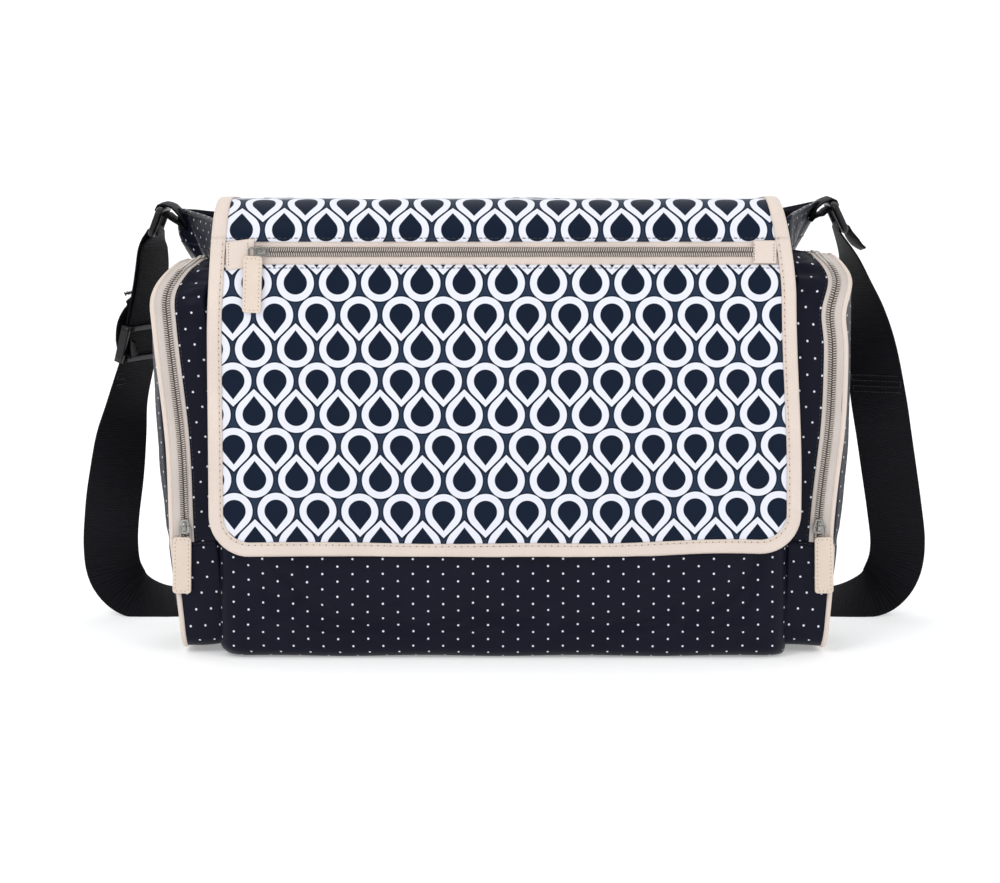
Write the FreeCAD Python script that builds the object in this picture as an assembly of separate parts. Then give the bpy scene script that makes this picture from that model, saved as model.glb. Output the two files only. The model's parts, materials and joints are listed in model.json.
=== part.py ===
"""Messenger-style diaper bag with a printed flap, two zipped side pockets and a webbing strap.

Units are millimetres. The origin is the centre of the base on the surface that the bag stands on.
+Z is up, the flap hangs over the front, which faces -Y, and +X is on the right as seen from the front.
Sewn cloth is modelled as thin closed solids, laid face to face where the real layers are sewn together.
"""
import FreeCAD, Part
import math
import os

V = FreeCAD.Vector

# ---- body ----
BODY_WIDTH = 427.0
BASE_DEPTH = 156.0
RIM_DEPTH = 120.0
RIM_Z = 322.0
BACK_TOP_Z = 325.0
CLOTH = 1.5
PADDING = 3.0
LINING = 1.0
BOARD = 3.0
GAP = 0.1

# ---- flared top of each side gusset ----
FACING_Z = 292.0
FACING_APEX_Y = 53.0
FACING_APEX_LOW = 247.0
FACING_APEX_HIGH = 252.0
WING_MOUTH_Y = (-45.0, 52.0)

# ---- flap ----
FLAP_WIDTH = 434.0
FLAP_BOTTOM_Z = 79.0
FLAP_CLEARANCE = 4.0
FLAP_CORNER = 30.0
FLAP_STRAIGHT = 236.0
FLAP_BEND = 30.0
FLAP_CLOTH = 1.6
FLAP_SHEET = 0.6
FLAP_FACING = 0.8
FLAP_THICKNESS = 5.3
FLAP_DROP_TO_BACK = 10.0
FLAP_REAR_Y = 62.0
BINDING = 10.0
BINDING_LEG = 0.8

# ---- flap zip ----
FLAP_ZIP_HEIGHT = 226.0
CHAIN_WIDTH = 5.8
COIL_GAP = 1.0
COIL_THICKNESS = 2.4
TAPE_THICKNESS = 1.0
FLAP_TAPE_BAND = 16.5
END_TAB_LENGTH = 18.0
FLAP_SLIDER_X = -178.0
SLIDER_CLEARANCE = 0.3
SLIDER_PLATE = 0.9
PULLER_Y = -2.6
LINK_HALF = 3.6

# ---- side pockets, drawn upright on the left and then leaned outwards ----
POCKET_OUTER_X = -242.0
POCKET_FRONT_Y = -64.0
POCKET_BACK_Y = 28.0
POCKET_BOTTOM_Z = 8.0
POCKET_TOP_Z = 290.0
POCKET_TOP_RADIUS = 36.0
POCKET_BOTTOM_RADIUS = 14.0
POCKET_LEAN = 3.6
POCKET_FOLD_Z = 86.0
POCKET_CLOTH = 1.6
CHAIN_X = POCKET_OUTER_X + 9.5
INNER_TAPE_X = POCKET_OUTER_X + 17.0
PIPING_RADIUS = 1.8
POCKET_SLIDER_Z = 98.0

# ---- strap ----
WEBBING_WIDTH = 44.0
WEBBING = 1.4
RING_WIRE = 3.0
RING_SLOT = 47.0
RING_HEIGHT = 27.0
RING_CORNER = 4.0
LOOP_WIDTH = 40.0
LOOP_WALL = 2.4
STRAP_AXIS_Y = FACING_APEX_Y
STRAP_BAR_X = 260.0
STRAP_BAR_Z = 331.0
RING_TILT = 18.0

HALF_BODY = BODY_WIDTH / 2
HALF_FLAP = FLAP_WIDTH / 2
LEAN = math.atan((BASE_DEPTH - RIM_DEPTH) / 2 / RIM_Z)


# ---------------------------------------------------------------- helpers

def box(x_range, y_range, z_range):
    """Closed box between two corners."""
    low = V(x_range[0], y_range[0], z_range[0])
    return Part.makeBox(x_range[1] - x_range[0], y_range[1] - y_range[0], z_range[1] - z_range[0], low)


def prism_x(profile, x_low, x_high):
    """Polygon of (y, z) points, extruded along X."""
    points = [V(x_low, y, z) for y, z in profile]
    return Part.Face(Part.makePolygon(points + points[:1])).extrude(V(x_high - x_low, 0, 0))


def arc(start, middle, end):
    """Circular edge through three points."""
    return Part.Arc(start, middle, end).toShape()


def line(start, end):
    """Straight edge."""
    return Part.LineSegment(start, end).toShape()


def mirrored(shape):
    """The same piece on the other side of the bag."""
    return shape.mirror(V(0, 0, 0), V(1, 0, 0))


def joined(shapes):
    """One solid from pieces that touch or overlap."""
    return shapes[0].fuse(shapes[1:]).removeSplitter() if len(shapes) > 1 else shapes[0]


def export(node, shape):
    """One STEP file per piece."""
    shape.exportStep("parts/" + node + ".step")


def export_pair(name, left):
    """A left-hand piece and its mirror image."""
    export("left_" + name, left)
    export("right_" + name, mirrored(left))


# ---------------------------------------------------------------- body of the bag

def wall_depth(z, inset=0.0):
    """Half of the body's depth at a height, less an inset from the outer face."""
    return BASE_DEPTH / 2 - (BASE_DEPTH - RIM_DEPTH) / 2 * z / RIM_Z - inset


def leaning_slab(side, outer, inner, z_low, z_high, half_width):
    """Part of the front (side -1) or back (side 1) wall between two insets from its outer face."""
    profile = [(side * wall_depth(z_low, outer), z_low), (side * wall_depth(z_high, outer), z_high),
               (side * wall_depth(z_high, inner), z_high), (side * wall_depth(z_low, inner), z_low)]
    return prism_x(profile, -half_width, half_width)


def cross_section(inset, z_low, z_high):
    """Outline of the bag in the YZ plane, at an inset from its outer faces."""
    return [(-wall_depth(z_low, inset), z_low), (-wall_depth(z_high, inset), z_high),
            (wall_depth(z_high, inset), z_high), (wall_depth(z_low, inset), z_low)]


def build_body():
    """Outer cloth, stiffened base, padding and lining."""
    export("front_panel", leaning_slab(-1, 0, CLOTH, 0, RIM_Z, HALF_BODY))
    export("back_panel", leaning_slab(1, 0, CLOTH, 0, BACK_TOP_Z, HALF_BODY))
    gusset = prism_x(cross_section(CLOTH + GAP, 0, FACING_Z - GAP), -HALF_BODY, -HALF_BODY + CLOTH)
    export_pair("gusset", gusset)
    inner_half = HALF_BODY - CLOTH - GAP
    base_half_depth = wall_depth(0, CLOTH + GAP)
    export("base_panel", box((-inner_half, inner_half), (-base_half_depth, base_half_depth), (0, CLOTH)))
    board_top = CLOTH + GAP + BOARD
    board_half = inner_half - 3
    export("base_board", box((-board_half, board_half), (3 - base_half_depth, base_half_depth - 3),
                             (CLOTH + GAP, board_top)))
    pad_outer = CLOTH + GAP
    pad_inner = pad_outer + PADDING
    for name, side in (("front", -1), ("back", 1)):
        pad = leaning_slab(side, pad_outer, pad_inner, board_top + GAP, FACING_Z, inner_half - 1)
        export(name + "_padding", pad)
    lining_inset = pad_inner + GAP
    tub = prism_x(cross_section(lining_inset, board_top + GAP, RIM_Z - 4), -inner_half, inner_half)
    hollow = prism_x(cross_section(lining_inset + LINING, board_top + GAP + LINING, RIM_Z),
                     -inner_half + LINING, inner_half - LINING)
    for side in (-1, 1):
        wing_mouth = box(sorted((side * HALF_BODY, side * (inner_half - LINING))), WING_MOUTH_Y,
                         (FACING_Z, RIM_Z))
        tub = tub.cut(wing_mouth)
    export("main_lining", tub.cut(hollow))


def triangle(apex_x, z, inset):
    """Plan outline of a gusset's flared top: two corners at the body and one at the strap loop."""
    corner = RIM_DEPTH / 2 - CLOTH - GAP - inset
    inner_x = -HALF_BODY + (CLOTH if inset else 0)
    points = [V(inner_x, -corner, z), V(-apex_x + 2 * inset, FACING_APEX_Y - inset, z),
              V(inner_x, corner, z)]
    return Part.makePolygon(points + points[:1])


def build_facings():
    """Hemmed top band of each gusset, pulled outwards to the strap loop."""
    outer = Part.makeLoft([triangle(FACING_APEX_LOW, FACING_Z, 0), triangle(FACING_APEX_HIGH, RIM_Z, 0)],
                          True, True)
    inner = Part.makeLoft([triangle(FACING_APEX_LOW, FACING_Z + CLOTH, CLOTH),
                           triangle(FACING_APEX_HIGH, RIM_Z + CLOTH, CLOTH)], True, True)
    export_pair("gusset_facing", outer.cut(inner))


# ---------------------------------------------------------------- flap

def flap_frame():
    """Outer foot, straight top, bend centre and the direction at the end of the bend."""
    up = (math.sin(LEAN), math.cos(LEAN))
    inward = (math.cos(LEAN), -math.sin(LEAN))
    foot_y = -wall_depth(FLAP_BOTTOM_Z) - FLAP_CLEARANCE - FLAP_THICKNESS
    foot = (foot_y, FLAP_BOTTOM_Z)
    top = (foot[0] + FLAP_STRAIGHT * up[0], foot[1] + FLAP_STRAIGHT * up[1])
    centre = (top[0] + FLAP_BEND * inward[0], top[1] + FLAP_BEND * inward[1])
    slope = math.atan(FLAP_DROP_TO_BACK / (FLAP_REAR_Y - centre[0]))
    crest = (math.sin(slope), math.cos(slope))
    return {"up": up, "inward": inward, "foot": foot, "top": top, "centre": centre,
            "slope": slope, "crest": crest}


FRAME = flap_frame()


def on_flap(shape):
    """Lays a piece drawn upright, outer face at y = 0 and bottom edge at z = 0, onto the leaning flap."""
    placed = shape.copy()
    placed.rotate(V(0, 0, 0), V(1, 0, 0), -math.degrees(LEAN))
    placed.translate(V(0, FRAME["foot"][0], FRAME["foot"][1]))
    return placed


def on_bend(inset, angle):
    """Point (y, z) of the bend at an inset from its outer face and an angle round its centre."""
    radius = FLAP_BEND - inset
    return (FRAME["centre"][0] + radius * math.cos(angle), FRAME["centre"][1] + radius * math.sin(angle))


BEND_FRONT = math.pi + math.atan2(FRAME["inward"][1], FRAME["inward"][0])
BEND_BACK = math.atan2(FRAME["crest"][1], FRAME["crest"][0])
BEND_MIDDLE = (BEND_FRONT + BEND_BACK) / 2
HALF_FOLD_GAP = 0.25 / FLAP_BEND


def bend_arc(x, inset, start, end):
    """Edge round the bend between two angles."""
    return arc(*[V(x, *on_bend(inset, angle)) for angle in (start, (start + end) / 2, end)])


def bend_layer(outer, inner, start, x_low, x_high):
    """Layer of the flap's front from a height on its straight part up to the middle of the bend."""
    def straight(inset, height):
        up, inward, foot = FRAME["up"], FRAME["inward"], FRAME["foot"]
        return V(x_low, foot[0] + height * up[0] + inset * inward[0],
                 foot[1] + height * up[1] + inset * inward[1])

    end = BEND_MIDDLE + HALF_FOLD_GAP
    edges = [line(straight(outer, start), V(x_low, *on_bend(outer, BEND_FRONT))),
             bend_arc(x_low, outer, BEND_FRONT, end),
             line(V(x_low, *on_bend(outer, end)), V(x_low, *on_bend(inner, end))),
             bend_arc(x_low, inner, end, BEND_FRONT),
             line(V(x_low, *on_bend(inner, BEND_FRONT)), straight(inner, start)),
             line(straight(inner, start), straight(outer, start))]
    return Part.Face(Part.Wire(edges)).extrude(V(x_high - x_low, 0, 0))


def top_layer(outer, inner, x_low, x_high):
    """Layer of the flap's top, from the middle of the bend to the back edge."""
    slope = FRAME["slope"]
    length = (FLAP_REAR_Y - FRAME["centre"][0]) / math.cos(slope) - 2
    start = BEND_MIDDLE - HALF_FOLD_GAP

    def rear(inset):
        crest = on_bend(inset, BEND_BACK)
        return V(x_low, crest[0] + length * math.cos(slope), crest[1] - length * math.sin(slope))

    edges = [bend_arc(x_low, outer, start, BEND_BACK),
             line(V(x_low, *on_bend(outer, BEND_BACK)), rear(outer)),
             line(rear(outer), rear(inner)),
             line(rear(inner), V(x_low, *on_bend(inner, BEND_BACK))),
             bend_arc(x_low, inner, BEND_BACK, start),
             line(V(x_low, *on_bend(inner, start)), V(x_low, *on_bend(outer, start)))]
    return Part.Face(Part.Wire(edges)).extrude(V(x_high - x_low, 0, 0))


def flap_outline(grow, y_low, y_high, foot_shift=0.0):
    """Upright slab of the flap's straight part with rounded bottom corners, grown or shrunk all round."""
    half = HALF_FLAP + grow
    bottom = -grow
    radius = FLAP_CORNER + grow
    diagonal = radius * (1 - math.sqrt(0.5))
    top = FLAP_STRAIGHT + foot_shift
    edges = [line(V(-half, y_low, top), V(-half, y_low, bottom + radius)),
             arc(V(-half, y_low, bottom + radius), V(-half + diagonal, y_low, bottom + diagonal),
                 V(-half + radius, y_low, bottom)),
             line(V(-half + radius, y_low, bottom), V(half - radius, y_low, bottom)),
             arc(V(half - radius, y_low, bottom), V(half - diagonal, y_low, bottom + diagonal),
                 V(half, y_low, bottom + radius)),
             line(V(half, y_low, bottom + radius), V(half, y_low, top)),
             line(V(half, y_low, top), V(-half, y_low, top))]
    return Part.Face(Part.Wire(edges)).extrude(V(0, y_high - y_low, 0))


def binding_strip(layer):
    """U-shaped binding round one side edge of a layer of the flap, on both sides."""
    pieces = []
    for side in (-1, 1):
        inner, edge, outer = side * (HALF_FLAP - BINDING), side * HALF_FLAP, side * (HALF_FLAP + BINDING_LEG)
        low_high = sorted((inner, edge))
        wrap = sorted((edge, outer))
        front = layer(-BINDING_LEG, 0, low_high[0], low_high[1])
        back = layer(FLAP_THICKNESS, FLAP_THICKNESS + BINDING_LEG, low_high[0], low_high[1])
        web = layer(-BINDING_LEG, FLAP_THICKNESS + BINDING_LEG, wrap[0], wrap[1])
        pieces.append(joined([front, web, back]))
    return pieces


def build_flap():
    """Printed cloth, facing, zip pocket sheet and binding of the flap."""
    back = FLAP_THICKNESS
    zip_low = FLAP_ZIP_HEIGHT - FLAP_TAPE_BAND / 2
    zip_high = FLAP_ZIP_HEIGHT + FLAP_TAPE_BAND / 2
    lower = flap_outline(0, 0, FLAP_CLOTH).common(box((-HALF_FLAP, HALF_FLAP), (-1, 9), (-1, zip_low)))
    export("flap_lower_cloth", on_flap(lower))
    export("flap_bend_cloth", bend_layer(0, FLAP_CLOTH, zip_high, -HALF_FLAP, HALF_FLAP))
    facing_low = flap_outline(0, back - FLAP_FACING, back)
    facing_bend = bend_layer(back - FLAP_FACING, back, FLAP_STRAIGHT - 1, -HALF_FLAP, HALF_FLAP)
    export("flap_front_facing", joined([on_flap(facing_low), facing_bend]))
    sheet_back = back - FLAP_FACING - GAP
    sheet = box((15 - HALF_FLAP, HALF_FLAP - 15), (sheet_back - FLAP_SHEET, sheet_back), (45, zip_high - 4))
    export("flap_pocket_sheet", on_flap(sheet))

    def leg(y_low, y_high):
        return flap_outline(0, y_low, y_high).cut(flap_outline(-BINDING, y_low - 1, y_high + 1, BINDING + 1))

    web = flap_outline(BINDING_LEG, -BINDING_LEG, back + BINDING_LEG)
    web = web.cut(flap_outline(0, -9, back + 9, 1))
    rim = joined([leg(-BINDING_LEG, 0), web, leg(back, back + BINDING_LEG)])

    def bend(outer, inner, x_low, x_high):
        return bend_layer(outer, inner, FLAP_STRAIGHT - 1, x_low, x_high)

    export("flap_front_binding", joined([on_flap(rim)] + binding_strip(bend)))

    export("flap_top_cloth", top_layer(0, FLAP_CLOTH, -HALF_FLAP, HALF_FLAP))
    export("flap_top_facing", top_layer(back - FLAP_FACING, back, -HALF_FLAP, HALF_FLAP))
    export("flap_top_binding", Part.Compound(binding_strip(top_layer)))


def build_closure():
    """Hook patches under the flap and the loop patches on the body that they meet."""
    hooks, loops = [], []
    for side in (-1, 1):
        x_range = sorted((side * 95, side * 150))
        hooks.append(on_flap(box(x_range, (FLAP_THICKNESS, FLAP_THICKNESS + 1.2), (16, 36))))
        loop = leaning_slab(-1, -1.2, 0, FLAP_BOTTOM_Z + 16, FLAP_BOTTOM_Z + 36, HALF_BODY)
        loops.append(loop.common(box(x_range, (-200, 0), (0, RIM_Z))))
    export("closure_hook_patches", Part.Compound(hooks))
    export("closure_loop_patches", Part.Compound(loops))


# ---------------------------------------------------------------- zip hardware

def slider_body(length, width):
    """Zip slider, upright on a chain whose front face is at y = 0: two plates, a post and a bridge."""
    clear = SLIDER_CLEARANCE
    plate = SLIDER_PLATE
    bridge_height = 3.4
    back_y = COIL_THICKNESS + clear
    front = box((-width / 2, width / 2), (-clear - plate, -clear), (-length / 2, length / 2))
    rear = box((-width / 2, width / 2), (back_y, back_y + plate), (-length / 2, length / 2))
    post = box((-0.2, 0.2), (-clear - plate, back_y + plate), (-length / 2, 0))
    top_y = -clear - plate
    arch = box((-1.3, 1.3), (top_y - bridge_height, top_y), (-3.6, 3.6))
    hole = box((-2, 2), (top_y - bridge_height + 1, top_y), (-2.2, 2.2))
    return joined([front, post, rear, arch.cut(hole)])


def puller_link(reach):
    """Wire link through the slider's bridge, hanging down: a rounded rectangle of round wire."""
    wire = 0.7
    half = LINK_HALF
    radius = 1.6
    low = -reach
    diagonal = radius * (1 - math.sqrt(0.5))
    path = [line(V(-half + radius, 0, 0), V(half - radius, 0, 0)),
            arc(V(half - radius, 0, 0), V(half - diagonal, 0, -diagonal), V(half, 0, -radius)),
            line(V(half, 0, -radius), V(half, 0, low + radius)),
            arc(V(half, 0, low + radius), V(half - diagonal, 0, low + diagonal), V(half - radius, 0, low)),
            line(V(half - radius, 0, low), V(-half + radius, 0, low)),
            arc(V(-half + radius, 0, low), V(-half + diagonal, 0, low + diagonal), V(-half, 0, low + radius)),
            line(V(-half, 0, low + radius), V(-half, 0, -radius)),
            arc(V(-half, 0, -radius), V(-half + diagonal, 0, -diagonal), V(-half + radius, 0, 0))]
    ring = Part.Wire(Part.makeCircle(wire, V(0, 0, 0), V(1, 0, 0)))
    return Part.Wire(path).makePipeShell([ring], True, False)


def puller_tab(reach, length, width):
    """Leatherette tab hanging on the lower bar of the link."""
    half_thick = 1.1
    top = -reach + 1.6
    tab = box((-width / 2, width / 2), (-half_thick, half_thick), (top - length, top))
    upright = [e for e in tab.Edges if abs(e.tangentAt(e.FirstParameter).y) > 0.9]
    return tab.makeFillet(2.0, upright)


# ---------------------------------------------------------------- flap zip

def coil_pair(length_range):
    """The two halves of a closed zip chain, along X, with the front face at y = 0."""
    coils = []
    coil = (CHAIN_WIDTH - COIL_GAP) / 2
    for low in (-CHAIN_WIDTH / 2, COIL_GAP / 2):
        coils.append(box(length_range, (0, COIL_THICKNESS), (low, low + coil)))
    return Part.Compound(coils)


def build_flap_zip():
    """Tapes, chain, end tabs, slider and puller of the zip across the flap."""
    reach = HALF_FLAP - BINDING - 2
    chain_reach = reach - END_TAB_LENGTH
    half_band = FLAP_TAPE_BAND / 2 - 0.1
    tapes = []
    for side in (-1, 1):
        z_range = sorted((side * half_band, side * (CHAIN_WIDTH / 2 + 0.1)))
        tape = box((-chain_reach + 0.1, chain_reach - 0.1), (0.6, 0.6 + TAPE_THICKNESS), z_range)
        tape.translate(V(0, 0, FLAP_ZIP_HEIGHT))
        tapes.append(on_flap(tape))
    export("flap_zip_tapes", Part.Compound(tapes))
    chain = coil_pair((-chain_reach + 0.1, chain_reach - 0.1))
    chain.translate(V(0, -0.1, FLAP_ZIP_HEIGHT))
    export("flap_zip_chain", on_flap(chain))
    tabs = []
    for side in (-1, 1):
        x_range = sorted((side * chain_reach, side * reach))
        tab = box(x_range, (0, 1.6), (FLAP_ZIP_HEIGHT - half_band, FLAP_ZIP_HEIGHT + half_band))
        tabs.append(on_flap(tab))
    export("flap_zip_end_tabs", Part.Compound(tabs))

    slider = slider_body(11.0, 8.4)
    slider.rotate(V(0, 0, 0), V(0, 1, 0), 90)
    slider.translate(V(FLAP_SLIDER_X, -0.1, FLAP_ZIP_HEIGHT))
    export("flap_zip_slider", on_flap(slider))
    link = puller_link(10.0)
    link.rotate(V(0, 0, 0), V(0, 1, 0), 90)
    link.translate(V(FLAP_SLIDER_X + 0.9, PULLER_Y - 0.1, FLAP_ZIP_HEIGHT))
    tab = puller_tab(0.0, 42.0, 12.0)
    tab.translate(V(FLAP_SLIDER_X - 6.2, PULLER_Y - 0.1, FLAP_ZIP_HEIGHT - LINK_HALF))
    export("flap_puller_link", on_flap(link))
    export("flap_puller_tab", on_flap(tab.cut(link)))


# ---------------------------------------------------------------- side pockets

def pocket_outline(x, inset):
    """Arched outline of the pocket in the YZ plane, with rounded bottom corners."""
    front, back = POCKET_FRONT_Y + inset, POCKET_BACK_Y - inset
    low, high = POCKET_BOTTOM_Z + inset, POCKET_TOP_Z - inset
    top, bottom = POCKET_TOP_RADIUS - inset, POCKET_BOTTOM_RADIUS - inset
    cut = 1 - math.sqrt(0.5)
    edges = [line(V(x, front, low + bottom), V(x, front, high - top)),
             arc(V(x, front, high - top), V(x, front + cut * top, high - cut * top), V(x, front + top, high)),
             line(V(x, front + top, high), V(x, back - top, high)),
             arc(V(x, back - top, high), V(x, back - cut * top, high - cut * top), V(x, back, high - top)),
             line(V(x, back, high - top), V(x, back, low + bottom)),
             arc(V(x, back, low + bottom), V(x, back - cut * bottom, low + cut * bottom),
                 V(x, back - bottom, low)),
             line(V(x, back - bottom, low), V(x, front + bottom, low)),
             arc(V(x, front + bottom, low), V(x, front + cut * bottom, low + cut * bottom),
                 V(x, front, low + bottom))]
    return Part.Wire(edges)


def pocket_block(x_low, x_high, inset):
    """Solid of the arched outline between two planes."""
    return Part.Face(pocket_outline(x_low, inset)).extrude(V(x_high - x_low, 0, 0))


def pocket_band(x_low, x_high, outer, inner):
    """Band that runs round the outline between two insets."""
    return pocket_block(x_low, x_high, outer).cut(pocket_block(x_low - 1, x_high + 1, inner))


def above_fold(shape, gap):
    """The part of a pocket piece above the fold line."""
    return shape.common(box((-300, 0), (-100, 100), (POCKET_FOLD_Z + gap, 400)))


def below_fold(shape, gap):
    """The part of a pocket piece below the fold line."""
    return shape.common(box((-300, 0), (-100, 100), (0, POCKET_FOLD_Z - gap)))


def leaned(shape):
    """Leans an upright pocket piece outwards and trims it at the bag's side."""
    placed = shape.copy()
    placed.rotate(V(POCKET_OUTER_X, 0, POCKET_BOTTOM_Z), V(0, 1, 0), -POCKET_LEAN)
    return placed.cut(box((-HALF_BODY, 50), (-200, 200), (-50, 500)))


def hanging(shape, pin):
    """Places a puller's piece on its pin, so that it hangs plumb once the pocket has been leaned."""
    placed = shape.copy()
    placed.translate(pin)
    placed.rotate(pin, V(0, 1, 0), POCKET_LEAN)
    return placed


def edge_piping(path_wire, start, direction):
    """Round cord sewn along a path."""
    ring = Part.Wire(Part.makeCircle(PIPING_RADIUS, start, direction))
    return path_wire.makePipeShell([ring], True, False)


def pocket_piping():
    """Piping round the outer edge of the panel: the arch above the fold and the rest below it."""
    x = POCKET_OUTER_X - PIPING_RADIUS - 0.05
    inset = PIPING_RADIUS
    front, back = POCKET_FRONT_Y + inset, POCKET_BACK_Y - inset
    low, high = POCKET_BOTTOM_Z + inset, POCKET_TOP_Z - inset
    top, bottom = POCKET_TOP_RADIUS - inset, POCKET_BOTTOM_RADIUS - inset
    cut = 1 - math.sqrt(0.5)
    start = V(x, front, POCKET_FOLD_Z + 6)
    arch = Part.Wire([
        line(start, V(x, front, high - top)),
        arc(V(x, front, high - top), V(x, front + cut * top, high - cut * top), V(x, front + top, high)),
        line(V(x, front + top, high), V(x, back - top, high)),
        arc(V(x, back - top, high), V(x, back - cut * top, high - cut * top), V(x, back, high - top)),
        line(V(x, back, high - top), V(x, back, POCKET_FOLD_Z + 6))])
    foot = V(x, front, POCKET_FOLD_Z - 5)
    cup = Part.Wire([
        line(foot, V(x, front, low + bottom)),
        arc(V(x, front, low + bottom), V(x, front + cut * bottom, low + cut * bottom),
            V(x, front + bottom, low)),
        line(V(x, front + bottom, low), V(x, back - bottom, low)),
        arc(V(x, back - bottom, low), V(x, back - cut * bottom, low + cut * bottom),
            V(x, back, low + bottom)),
        line(V(x, back, low + bottom), V(x, back, POCKET_FOLD_Z - 5))])
    return edge_piping(arch, start, V(0, 0, 1)), edge_piping(cup, foot, V(0, 0, 1))


def build_pockets():
    """Both side pockets: cup, arched gusset, opening panel, zip and piping."""
    outer = POCKET_OUTER_X
    inner_wall = outer + POCKET_CLOTH
    body_side = -HALF_BODY + 10
    gusset = above_fold(pocket_band(INNER_TAPE_X + GAP, body_side, 0, POCKET_CLOTH), 0)
    lower_band = pocket_band(inner_wall, body_side, 0, POCKET_CLOTH)
    cup = below_fold(joined([lower_band, pocket_block(outer, inner_wall, 0)]), 1.2)
    lower_gusset = pocket_band(INNER_TAPE_X + GAP, body_side, 0, POCKET_CLOTH)
    lower_gusset = lower_gusset.common(box((-300, 0), (-100, 100), (POCKET_FOLD_Z - 1.2, POCKET_FOLD_Z)))
    export_pair("pocket_cup", leaned(cup))
    export_pair("pocket_gusset", leaned(joined([gusset, lower_gusset])))
    half_chain = CHAIN_WIDTH / 2
    half_gap = COIL_GAP / 2
    foot_gap = 0.6
    tape_edge = CHAIN_X + half_chain + GAP
    inner_tape = above_fold(pocket_band(tape_edge, INNER_TAPE_X, 0.2, 0.2 + TAPE_THICKNESS), foot_gap)
    export_pair("zip_inner_tape", leaned(inner_tape))
    coil_low, coil_high = -0.6, COIL_THICKNESS - 0.6
    inner_coil = pocket_band(CHAIN_X + half_gap, CHAIN_X + half_chain, coil_low, coil_high)
    export_pair("zip_inner_coil", leaned(above_fold(inner_coil, foot_gap)))
    outer_coil = pocket_band(CHAIN_X - half_chain, CHAIN_X - half_gap, coil_low, coil_high)
    export_pair("zip_outer_coil", leaned(above_fold(outer_coil, foot_gap)))
    outer_tape = pocket_band(inner_wall + GAP, CHAIN_X - half_chain - GAP, 0.2, 0.2 + TAPE_THICKNESS)
    export_pair("zip_outer_tape", leaned(above_fold(outer_tape, foot_gap)))
    export_pair("pocket_panel", leaned(above_fold(pocket_block(outer, inner_wall, 0), 0.4)))
    arch, cup_edge = pocket_piping()
    export_pair("panel_piping", leaned(arch))
    export_pair("cup_piping", leaned(cup_edge))

    chain_face = POCKET_FRONT_Y - 0.6
    slider = slider_body(11.0, 8.4)
    slider.translate(V(CHAIN_X, chain_face, POCKET_SLIDER_Z))
    export_pair("pocket_slider", leaned(slider))
    pin = V(CHAIN_X, chain_face + PULLER_Y, POCKET_SLIDER_Z + 0.9)
    link = hanging(puller_link(10.0), pin)
    tab = hanging(puller_tab(10.0, 42.0, 12.0), pin)
    export_pair("pocket_puller_link", leaned(link))
    export_pair("pocket_puller_tab", leaned(tab.cut(link)))


# ---------------------------------------------------------------- strap

def cross_sections(stations, shift=0.0):
    """Rectangles of webbing at stations of (centre, direction of its width), square to the route."""
    sections = []
    for i, (centre, across) in enumerate(stations):
        ahead = stations[min(i + 1, len(stations) - 1)][0]
        behind = stations[max(i - 1, 0)][0]
        tangent = (V(*ahead) - V(*behind)).normalize()
        wide = V(*across)
        wide = (wide - tangent * wide.dot(tangent)).normalize() * (WEBBING_WIDTH / 2)
        normal = tangent.cross(wide).normalize()
        middle = V(*centre) + normal * shift
        half = normal * (WEBBING / 2)
        corners = [middle - wide - half, middle + wide - half, middle + wide + half, middle - wide + half]
        sections.append(Part.makePolygon(corners + corners[:1]))
    return sections


def webbing(sections):
    """Flat webbing through its cross-sections, as a ruled solid."""
    return Part.makeLoft(sections, True, True)


def ring_points():
    """Upper and lower bar centres of the left ring in the XZ plane."""
    tilt = math.radians(RING_TILT)
    reach = RING_HEIGHT - 2 * RING_WIRE
    return (-STRAP_BAR_X, STRAP_BAR_Z), (-STRAP_BAR_X - reach * math.sin(tilt),
                                         STRAP_BAR_Z - reach * math.cos(tilt))


def ring():
    """Moulded ring of round section, upright in the YZ plane with its upper bar at the origin."""
    half = RING_SLOT / 2 + RING_WIRE
    low = -(RING_HEIGHT - 2 * RING_WIRE)
    radius = RING_CORNER
    cut = radius * (1 - math.sqrt(0.5))
    path = Part.Wire([
        line(V(0, -half + radius, 0), V(0, half - radius, 0)),
        arc(V(0, half - radius, 0), V(0, half - cut, -cut), V(0, half, -radius)),
        line(V(0, half, -radius), V(0, half, low + radius)),
        arc(V(0, half, low + radius), V(0, half - cut, low + cut), V(0, half - radius, low)),
        line(V(0, half - radius, low), V(0, -half + radius, low)),
        arc(V(0, -half + radius, low), V(0, -half + cut, low + cut), V(0, -half, low + radius)),
        line(V(0, -half, low + radius), V(0, -half, -radius)),
        arc(V(0, -half, -radius), V(0, -half + cut, -cut), V(0, -half + radius, 0))])
    section = Part.Wire(Part.makeCircle(RING_WIRE, V(0, 0, 0), V(0, 1, 0)))
    return path.makePipeShell([section], True, False)


def strap_loop():
    """Webbing loop from the gusset's top round the upper bar of the left ring."""
    inner = RING_WIRE + 0.4
    outer = inner + LOOP_WALL
    y_low = STRAP_AXIS_Y - LOOP_WIDTH / 2
    centre = V(-STRAP_BAR_X, y_low, STRAP_BAR_Z)
    along = V(0, 1, 0)
    root_x = -FACING_APEX_HIGH - 0.5
    tail = prism_y([(root_x, STRAP_BAR_Z - 16), (root_x, STRAP_BAR_Z - 10),
                    (-STRAP_BAR_X + 2, STRAP_BAR_Z + outer - 0.6), (-STRAP_BAR_X - 1, STRAP_BAR_Z - outer + 0.4)],
                   y_low, y_low + LOOP_WIDTH)
    tube = Part.makeCylinder(outer, LOOP_WIDTH, centre, along)
    return joined([tube, tail]).cut(Part.makeCylinder(inner, LOOP_WIDTH, centre, along))


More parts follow.
